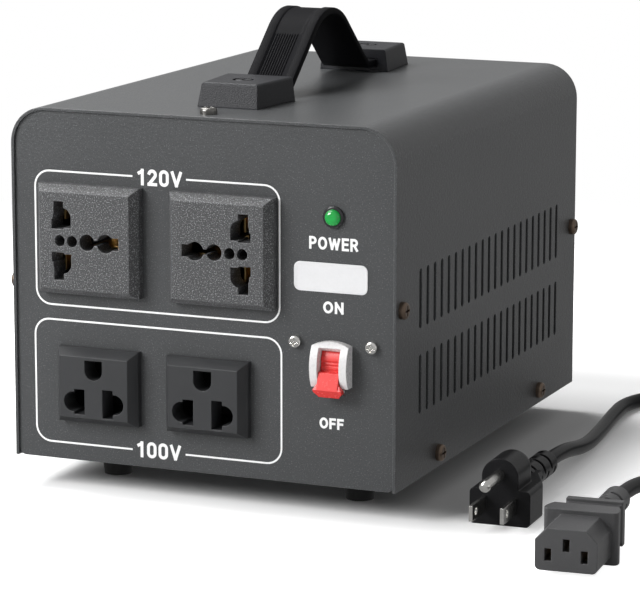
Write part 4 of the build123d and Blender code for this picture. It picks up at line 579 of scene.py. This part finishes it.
printing = {
    "front": -0.108,
    "lift": 0.00006,
    "layer": 0.00002,
    "line": 0.75,
    "corner": 6.5,
    "cornerSteps": 8,
    "letterGap": 0.36,
    # how far a stroke reaches past its end, as a share of its width, and what counts as slanting
    "squareEnd": 0.5,
    "slantEnd": 0.35,
    "slanting": 0.1,
    "mitreLimit": 0.6,
    "sharpestTurn": 100.0,
    "touching": 1e-6,
    # each word with its left, right, low and high edge and its stroke
    "words": [
        ("POWER", 46.8, 67.6, 95.3, 100.4, 1.0),
        ("ON", 52.8, 61.5, 70.0, 74.8, 1.05),
        ("OFF", 51.3, 61.7, 23.4, 27.9, 1.0),
        ("120V", -27.8, -8.0, 115.8, 122.5, 1.3),
        ("100V", -29.1, -9.3, 3.9, 10.6, 1.3),
    ],
    # each frame with its left, right, low and high edge and the side and ends of its gap
    "frames": [
        ("upperFrame", -73.8, 34.2, 64.3, 119.3, "top", -30.3, -5.9),
        ("lowerFrame", -74.7, 34.9, 6.9, 58.1, "bottom", -31.4, -6.9),
    ],
    "caseLow": 13.0,
}


def onFront(x, z, lift):
    return (x * mm, printing["front"] - lift, (z + printing["caseLow"]) * mm)


def bow(centreX, centreZ, across, high, start, end, steps=10):
    turns = [math.radians(start + (end - start) * n / steps) for n in range(steps + 1)]
    return [(centreX + across * math.cos(t), centreZ + high * math.sin(t)) for t in turns]


# strokes of each letter and figure in a box one high, with the box's width first
roundTop = bow(0.25, 0.74, 0.25, 0.26, 180, 0)
roundFoot = bow(0.25, 0.26, 0.25, 0.26, 0, -180)
glyphs = {
    "0": (0.5, [roundTop + roundFoot + roundTop[:1]]),
    "O": (0.66, [bow(0.33, 0.5, 0.33, 0.5, 180, -180, 28)]),
    "1": (0.4, [[(0.0, 0.79), (0.19, 0.9), (0.27, 1.0), (0.27, 0.0)]]),
    "2": (0.5, [bow(0.24, 0.73, 0.24, 0.27, 165, -38) + [(0.0, 0.0), (0.5, 0.0)]]),
    "V": (0.62, [[(0.0, 1.0), (0.31, 0.0), (0.62, 1.0)]]),
    "P": (0.5, [
        [(0.0, 0.0), (0.0, 1.0)],
        [(0.0, 1.0)] + bow(0.26, 0.73, 0.24, 0.27, 90, -90) + [(0.0, 0.46)],
    ]),
    "R": (0.54, [
        [(0.0, 0.0), (0.0, 1.0)],
        [(0.0, 1.0)] + bow(0.27, 0.74, 0.24, 0.26, 90, -90) + [(0.0, 0.48)],
        [(0.26, 0.48), (0.54, 0.0)],
    ]),
    "W": (0.92, [[(0.0, 1.0), (0.23, 0.0), (0.46, 0.92), (0.69, 0.0), (0.92, 1.0)]]),
    "E": (0.46, [[(0.46, 1.0), (0.0, 1.0), (0.0, 0.0), (0.46, 0.0)], [(0.0, 0.52), (0.41, 0.52)]]),
    "F": (0.45, [[(0.45, 1.0), (0.0, 1.0), (0.0, 0.0)], [(0.0, 0.5), (0.4, 0.5)]]),
    "N": (0.56, [[(0.0, 0.0), (0.0, 1.0), (0.56, 0.0), (0.56, 1.0)]]),
}


def runs(line):
    # a stroke that turns back on itself is cut there, because a mitre would make a spike
    line = [Vector(p) for p in line]
    run = [line[0]]
    for before, point, after in zip(line, line[1:], line[2:]):
        run.append(point)
        if (point - before).angle(after - point, 0.0) > math.radians(printing["sharpestTurn"]):
            yield run
            run = [point]
    yield run + [line[-1]]


def squared(line, wide):
    # both ends reach on past the line's own, a slanting one a little less
    longer = list(line)
    for end, inner in ((0, 1), (-1, -2)):
        way = (line[end] - line[inner]).normalized()
        slanting = min(abs(way.x), abs(way.y)) > printing["slanting"]
        longer[end] = line[end] + way * wide * printing["slantEnd" if slanting else "squareEnd"]
    return longer


def band(line, wide, lift, points, faces):
    # a flat band along a line of (x, z) in millimetres, mitred at its corners and square at its ends
    closed = (line[0] - line[-1]).length < printing["touching"]
    if not closed:
        line = squared(line, wide)
    first = len(points)
    last = len(line) - 1
    for n, point in enumerate(line):
        before = line[n - 1] if n else line[last - 1 if closed else 0]
        after = line[n + 1] if n < last else line[1 if closed else last]
        come = (point - before).normalized() if (point - before).length else (after - point).normalized()
        go = (after - point).normalized() if (after - point).length else come
        way = (come + go).normalized()
        side = Vector((-way.y, way.x)) * wide / 2 / max(way.dot(go), printing["mitreLimit"])
        points += [onFront(*(point + side), lift), onFront(*(point - side), lift)]
    for n in range(last):
        k = first + 2 * n
        faces.append((k, k + 1, k + 3, k + 2))


def makeWord(word, left, right, low, high, stroke):
    gap = printing["letterGap"]
    wide = sum(glyphs[letter][0] for letter in word) + gap * (len(word) - 1)
    firstX, firstZ = left + stroke / 2, low + stroke / 2
    acrossScale = (right - left - stroke) / wide
    upScale = high - low - stroke
    points, faces = [], []
    start = 0.0
    for letter in word:
        width, strokes = glyphs[letter]
        placed = [
            [(firstX + (start + x) * acrossScale, firstZ + z * upScale) for x, z in line]
            for line in strokes
        ]
        # bands that cross lie one on the other, as no two faces may share a place
        for layer, run in enumerate(run for line in placed for run in runs(line)):
            band(run, stroke, printing["lift"] + layer * printing["layer"], points, faces)
        start += width + gap
    piece = casePiece(f"print{word}", points, faces, finishes["ink"])


def roundedOutline(left, right, low, high, corner):
    steps = printing["cornerSteps"]
    outline = []
    for cx, cz, start in (
        (right - corner, high - corner, 0),
        (left + corner, high - corner, 90),
        (left + corner, low + corner, 180),
        (right - corner, low + corner, 270),
    ):
        for n in range(steps + 1):
            angle = math.radians(start + 90 * n / steps)
            outline.append((cx + corner * math.cos(angle), cz + corner * math.sin(angle)))
    return outline


def frameLine(left, right, low, high, side, gapLeft, gapRight):
    # the outline opens at the gap: after its first corner at the top, after its third at the bottom
    outline = roundedOutline(left, right, low, high, printing["corner"])
    perCorner = printing["cornerSteps"] + 1
    if side == "top":
        return [(gapLeft, high)] + outline[perCorner:] + outline[:perCorner] + [(gapRight, high)]
    return [(gapRight, low)] + outline[3 * perCorner:] + outline[:3 * perCorner] + [(gapLeft, low)]


def makeFrame(name, *shape):
    points, faces = [], []
    for run in runs(frameLine(*shape)):
        band(run, printing["line"], printing["lift"], points, faces)
    piece = casePiece(name, points, faces, finishes["ink"])


label = {
    "left": 40.4,
    "right": 71.7,
    "low": 78.4,
    "high": 90.1,
    "corner": 2.6,
    "thick": 0.35,
    "sideShare": 0.7,
    "bevel": 0.15,
    "rim": 0.9,
    "rimFall": 0.1,
    "faceShare": 0.75,
}


def makeLabel(settings):
    thick = settings["thick"]
    # how far in from the label's edge each ring lies, and how far off the panel
    rings = [
        (0.0, 0.0),
        (0.0, thick * settings["sideShare"]),
        (settings["bevel"], thick),
        (settings["rim"], thick),
        (settings["rim"] + settings["rimFall"], thick * settings["faceShare"]),
    ]
    points = []
    for inset, lift in rings:
        ring = roundedOutline(
            settings["left"] + inset,
            settings["right"] - inset,
            settings["low"] + inset,
            settings["high"] - inset,
            settings["corner"] - inset,
        )
        points += [onFront(x, z, lift * mm) for x, z in ring]
    count = len(points) // len(rings)
    faces = []
    for low in range(0, len(points) - count, count):
        for n in range(count):
            after = (n + 1) % count
            faces.append((low + n, low + after, low + count + after, low + count + n))
    faces.append(tuple(range(len(points) - count, len(points))))
    piece = casePiece("bareLabel", points, faces, finishes["label"])


for word in printing["words"]:
    makeWord(*word)
for border in printing["frames"]:
    makeFrame(*border)
makeLabel(label)
print("print and label on the front")


# Carrying strap: a padded band with a raised lip on each edge, grooved on one leg

strap = {
    "middleY": 1.5,
    "top": 158.0,
    "width": 21.6,
    "thick": 3.0,
    "apexRadius": 26.5,
    "apexAbove": 31.5,
    "angle": 40.0,
    "footRadius": 7.0,
    "footY": 44.96,
    "endAbove": 4.0,
    "mouthY": 51.5,
    "apexSteps": 12,
    "legSteps": 48,
    "footSteps": 10,
    "mouthSteps": 3,
    "edge": 0.5,
    "lip": 4.4,
    "recess": 0.5,
    # the rounded edge in shares of "edge", inwards and down from the top
    "edgeShares": ((0.0, 1.2), (0.4, 0.3), (1.3, 0.0)),
    # the fall from the lip: millimetres inwards from the lip's own width, and a share of "recess"
    "lipFall": ((-0.5, 0.0), (-0.1, 0.35), (0.2, 1.0)),
    "grooves": {
        "start": -6.2,
        "pitch": 1.14,
        "count": 10,
        "wide": 0.5,
        "deep": 0.3,
        "low": 4.5,
        "high": 22.5,
    },
    # a groove in shares of its width and its depth
    "grooveShares": ((0.0, 0.0), (0.2, 1.0), (0.8, 1.0), (1.0, 0.0)),
}


def apexPoint(angle):
    radius = strap["apexRadius"]
    centre = strap["apexAbove"] - radius
    return Vector((radius * math.sin(angle), centre + radius * math.cos(angle))), angle


def footPoint(angle):
    radius = strap["footRadius"]
    centre = strap["endAbove"] + radius
    return Vector((strap["footY"] - radius * math.sin(angle), centre - radius * math.cos(angle))), angle


def shares(steps):
    return [n / steps for n in range(1, steps + 1)]


def strapLine():
    # places along the strap with its slope there, made for one half and mirrored
    turn = math.radians(strap["angle"])
    shoulder, knee = apexPoint(turn)[0], footPoint(turn)[0]
    foot, mouth = (Vector((strap[y], strap["endAbove"])) for y in ("footY", "mouthY"))
    half = [apexPoint(turn * share) for share in shares(strap["apexSteps"])]
    half += [(shoulder.lerp(knee, share), turn) for share in shares(strap["legSteps"])]
    half += [footPoint(turn * (1 - share)) for share in shares(strap["footSteps"])]
    half += [(foot.lerp(mouth, share), 0.0) for share in shares(strap["mouthSteps"])]
    mirrored = [(Vector((-place.x, place.y)), -slope) for place, slope in reversed(half)]
    return mirrored + [apexPoint(0.0)] + half


def strapSection(grooved):
    half = strap["width"] / 2
    thick = strap["thick"] / 2
    edge, lip, recess = (strap[k] for k in ("edge", "lip", "recess"))
    left = [(-half + edge * across, thick - edge * down) for across, down in strap["edgeShares"]]
    left += [(-half + lip + across, thick - recess * share) for across, share in strap["lipFall"]]
    right = [(-x, z) for x, z in reversed(left)]
    grooves = strap["grooves"]
    deep = grooves["deep"] if grooved else 0.0
    middle = [
        (grooves["start"] + n * grooves["pitch"] + grooves["wide"] * across, thick - recess - deep * down)
        for n in range(grooves["count"])
        for across, down in strap["grooveShares"]
    ]
    under = [(half, -thick + edge), (half - edge, -thick), (0.0, -thick)]
    under += [(-x, z) for x, z in reversed(under[:2])]
    return left + middle + right + under


def makeStrap():
    line = strapLine()
    grooves = strap["grooves"]
    points = []
    for place, slope in line:
        up = Vector((math.sin(slope), math.cos(slope)))
        grooved = place.x < 0 and grooves["low"] < place.y < grooves["high"]
        for x, height in strapSection(grooved):
            spot = place + up * height
            points.append((x * mm, (strap["middleY"] + spot.x) * mm, (strap["top"] + spot.y) * mm))
    count = len(points) // len(line)
    faces = []
    for n in range(len(line) - 1):
        for k in range(count):
            a, b = n * count + k, n * count + (k + 1) % count
            faces.append((a, b, b + count, a + count))
    faces.append(tuple(range(count)))
    faces.append(tuple(reversed(range(len(points) - count, len(points)))))
    piece = casePiece("carryStrap", points, faces, finishes["strap"])
    for face in piece.data.polygons:
        face.use_smooth = len(face.vertices) == 4
    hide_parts("handle_strap")
    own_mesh(piece)


makeStrap()
print("strap made")


# Floor, world and lamps

white = rgb(1, 1, 1)
stage = {
    "floor": {"size": 8.0, "tone": 0.8, "uneven": 0.03, "grain": 0.2, "roughness": 0.8, "specular": 0.1},
    # the camera sees this ground with its whole shadow, the floor past it lifted and, far off, white
    "shadedMiddle": (0.005, 0.049),
    "shadedHalf": (0.089, 0.121),
    "liftReach": (0.0, 0.09),
    "lift": 0.9,
    "whiteReach": (0.2, 0.5),
    "world": 0.26,
    "mirroredFloor": 0.35,
    "mirroredWorld": 0.45,
    # each lamp with its place, what it looks at, its size and its power
    "lamps": [
        ("leftFront", (-0.62, -0.8, 0.62), (0.0, -0.1, 0.08), 0.5, 13.4),
        ("overTop", (-0.7, 0.2, 1.4), (0.0, 0.05, 0.1), 0.9, 27.0),
        ("rightSide", (1.5, -0.3, 0.25), (0.0, 0.0, 0.05), 0.6, 0.6),
    ],
}


def distanceOut(finish):
    # how far a place is from the edge of the ground that keeps its shadow
    across, deep = (
        finish.maths("MAXIMUM", finish.maths("ABSOLUTE", place - middle) - half, 0.0)
        for place, middle, half in zip(finish.axes(), stage["shadedMiddle"], stage["shadedHalf"])
    )
    return (across * across + deep * deep) ** 0.5


def floorShader(finish):
    away = distanceOut(finish)
    seen = finish.add("ShaderNodeLightPath", output="Is Camera Ray")
    mirrored = finish.add("ShaderNodeLightPath", output="Is Glossy Ray")

    def glow(strength):
        return finish.add("ShaderNodeEmission", None, {"Color": white, "Strength": strength})

    def seenPast(reach, near, far):
        limits = {"Value": away, "From Min": reach[0], "From Max": reach[1]}
        share = seen * finish.add("ShaderNodeMapRange", {"interpolation_type": "SMOOTHSTEP"}, limits)
        return finish.add("ShaderNodeMixShader", None, {0: share, 1: near, 2: far})

    own = Wire(finish, finish.shader.outputs[0])
    lifted = finish.add("ShaderNodeAddShader", None, {0: own, 1: glow(stage["lift"])})
    shown = seenPast(stage["liftReach"], own, lifted)
    shown = seenPast(stage["whiteReach"], shown, glow(1.0))
    grey = glow(stage["mirroredFloor"])
    return finish.add("ShaderNodeMixShader", None, {0: mirrored, 1: shown, 2: grey})


def makeFloor(settings):
    finish = Finish("paleFloor")
    tones = (rgb(tone, tone, tone) for tone in (settings["tone"], settings["tone"] + settings["uneven"]))
    finish.set(
        colour=finish.mix(finish.grain(settings["grain"]), *tones),
        roughness=settings["roughness"],
        specular=settings["specular"],
    )
    finish.put(finish.tree.nodes["Material Output"].inputs["Surface"], floorShader(finish))
    half = settings["size"] / 2
    corners = [(-half, -half, 0), (half, -half, 0), (half, half, 0), (-half, half, 0)]
    floor = meshPiece("paleFloor", corners, [(0, 1, 2, 3)], finish.material)
    floor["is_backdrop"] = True


def makeWorld():
    world = bpy.data.worlds.new("studio")
    bpy.context.scene.world = world
    world.use_nodes = True
    tree = world.node_tree
    tree.nodes.clear()

    def plain(strength):
        node = tree.nodes.new("ShaderNodeBackground")
        node.inputs["Strength"].default_value = strength
        node.inputs["Color"].default_value = white
        return node.outputs[0]

    path = tree.nodes.new("ShaderNodeLightPath")
    shown = plain(stage["world"])
    for ray, strength in (("Is Glossy Ray", stage["mirroredWorld"]), ("Is Camera Ray", 1.0)):
        mix = tree.nodes.new("ShaderNodeMixShader")
        tree.links.new(path.outputs[ray], mix.inputs[0])
        tree.links.new(shown, mix.inputs[1])
        tree.links.new(plain(strength), mix.inputs[2])
        shown = mix.outputs[0]
    out = tree.nodes.new("ShaderNodeOutputWorld")
    tree.links.new(shown, out.inputs[0])


def makeLamp(name, place, target, size, power):
    lamp = bpy.data.lights.new(name, "AREA")
    lamp.size = size
    lamp.energy = power
    holder = addToScene(name, lamp)
    holder.location = place
    holder.rotation_euler = (Vector(target) - Vector(place)).to_track_quat("-Z", "Y").to_euler()


makeFloor(stage["floor"])
makeWorld()
for lampSettings in stage["lamps"]:
    makeLamp(*lampSettings)
bpy.context.scene.view_settings.view_transform = "Standard"
print("floor and lamps set")

plain = [[list(corner) for corner in bounds] for bounds in (cadBox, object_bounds())]
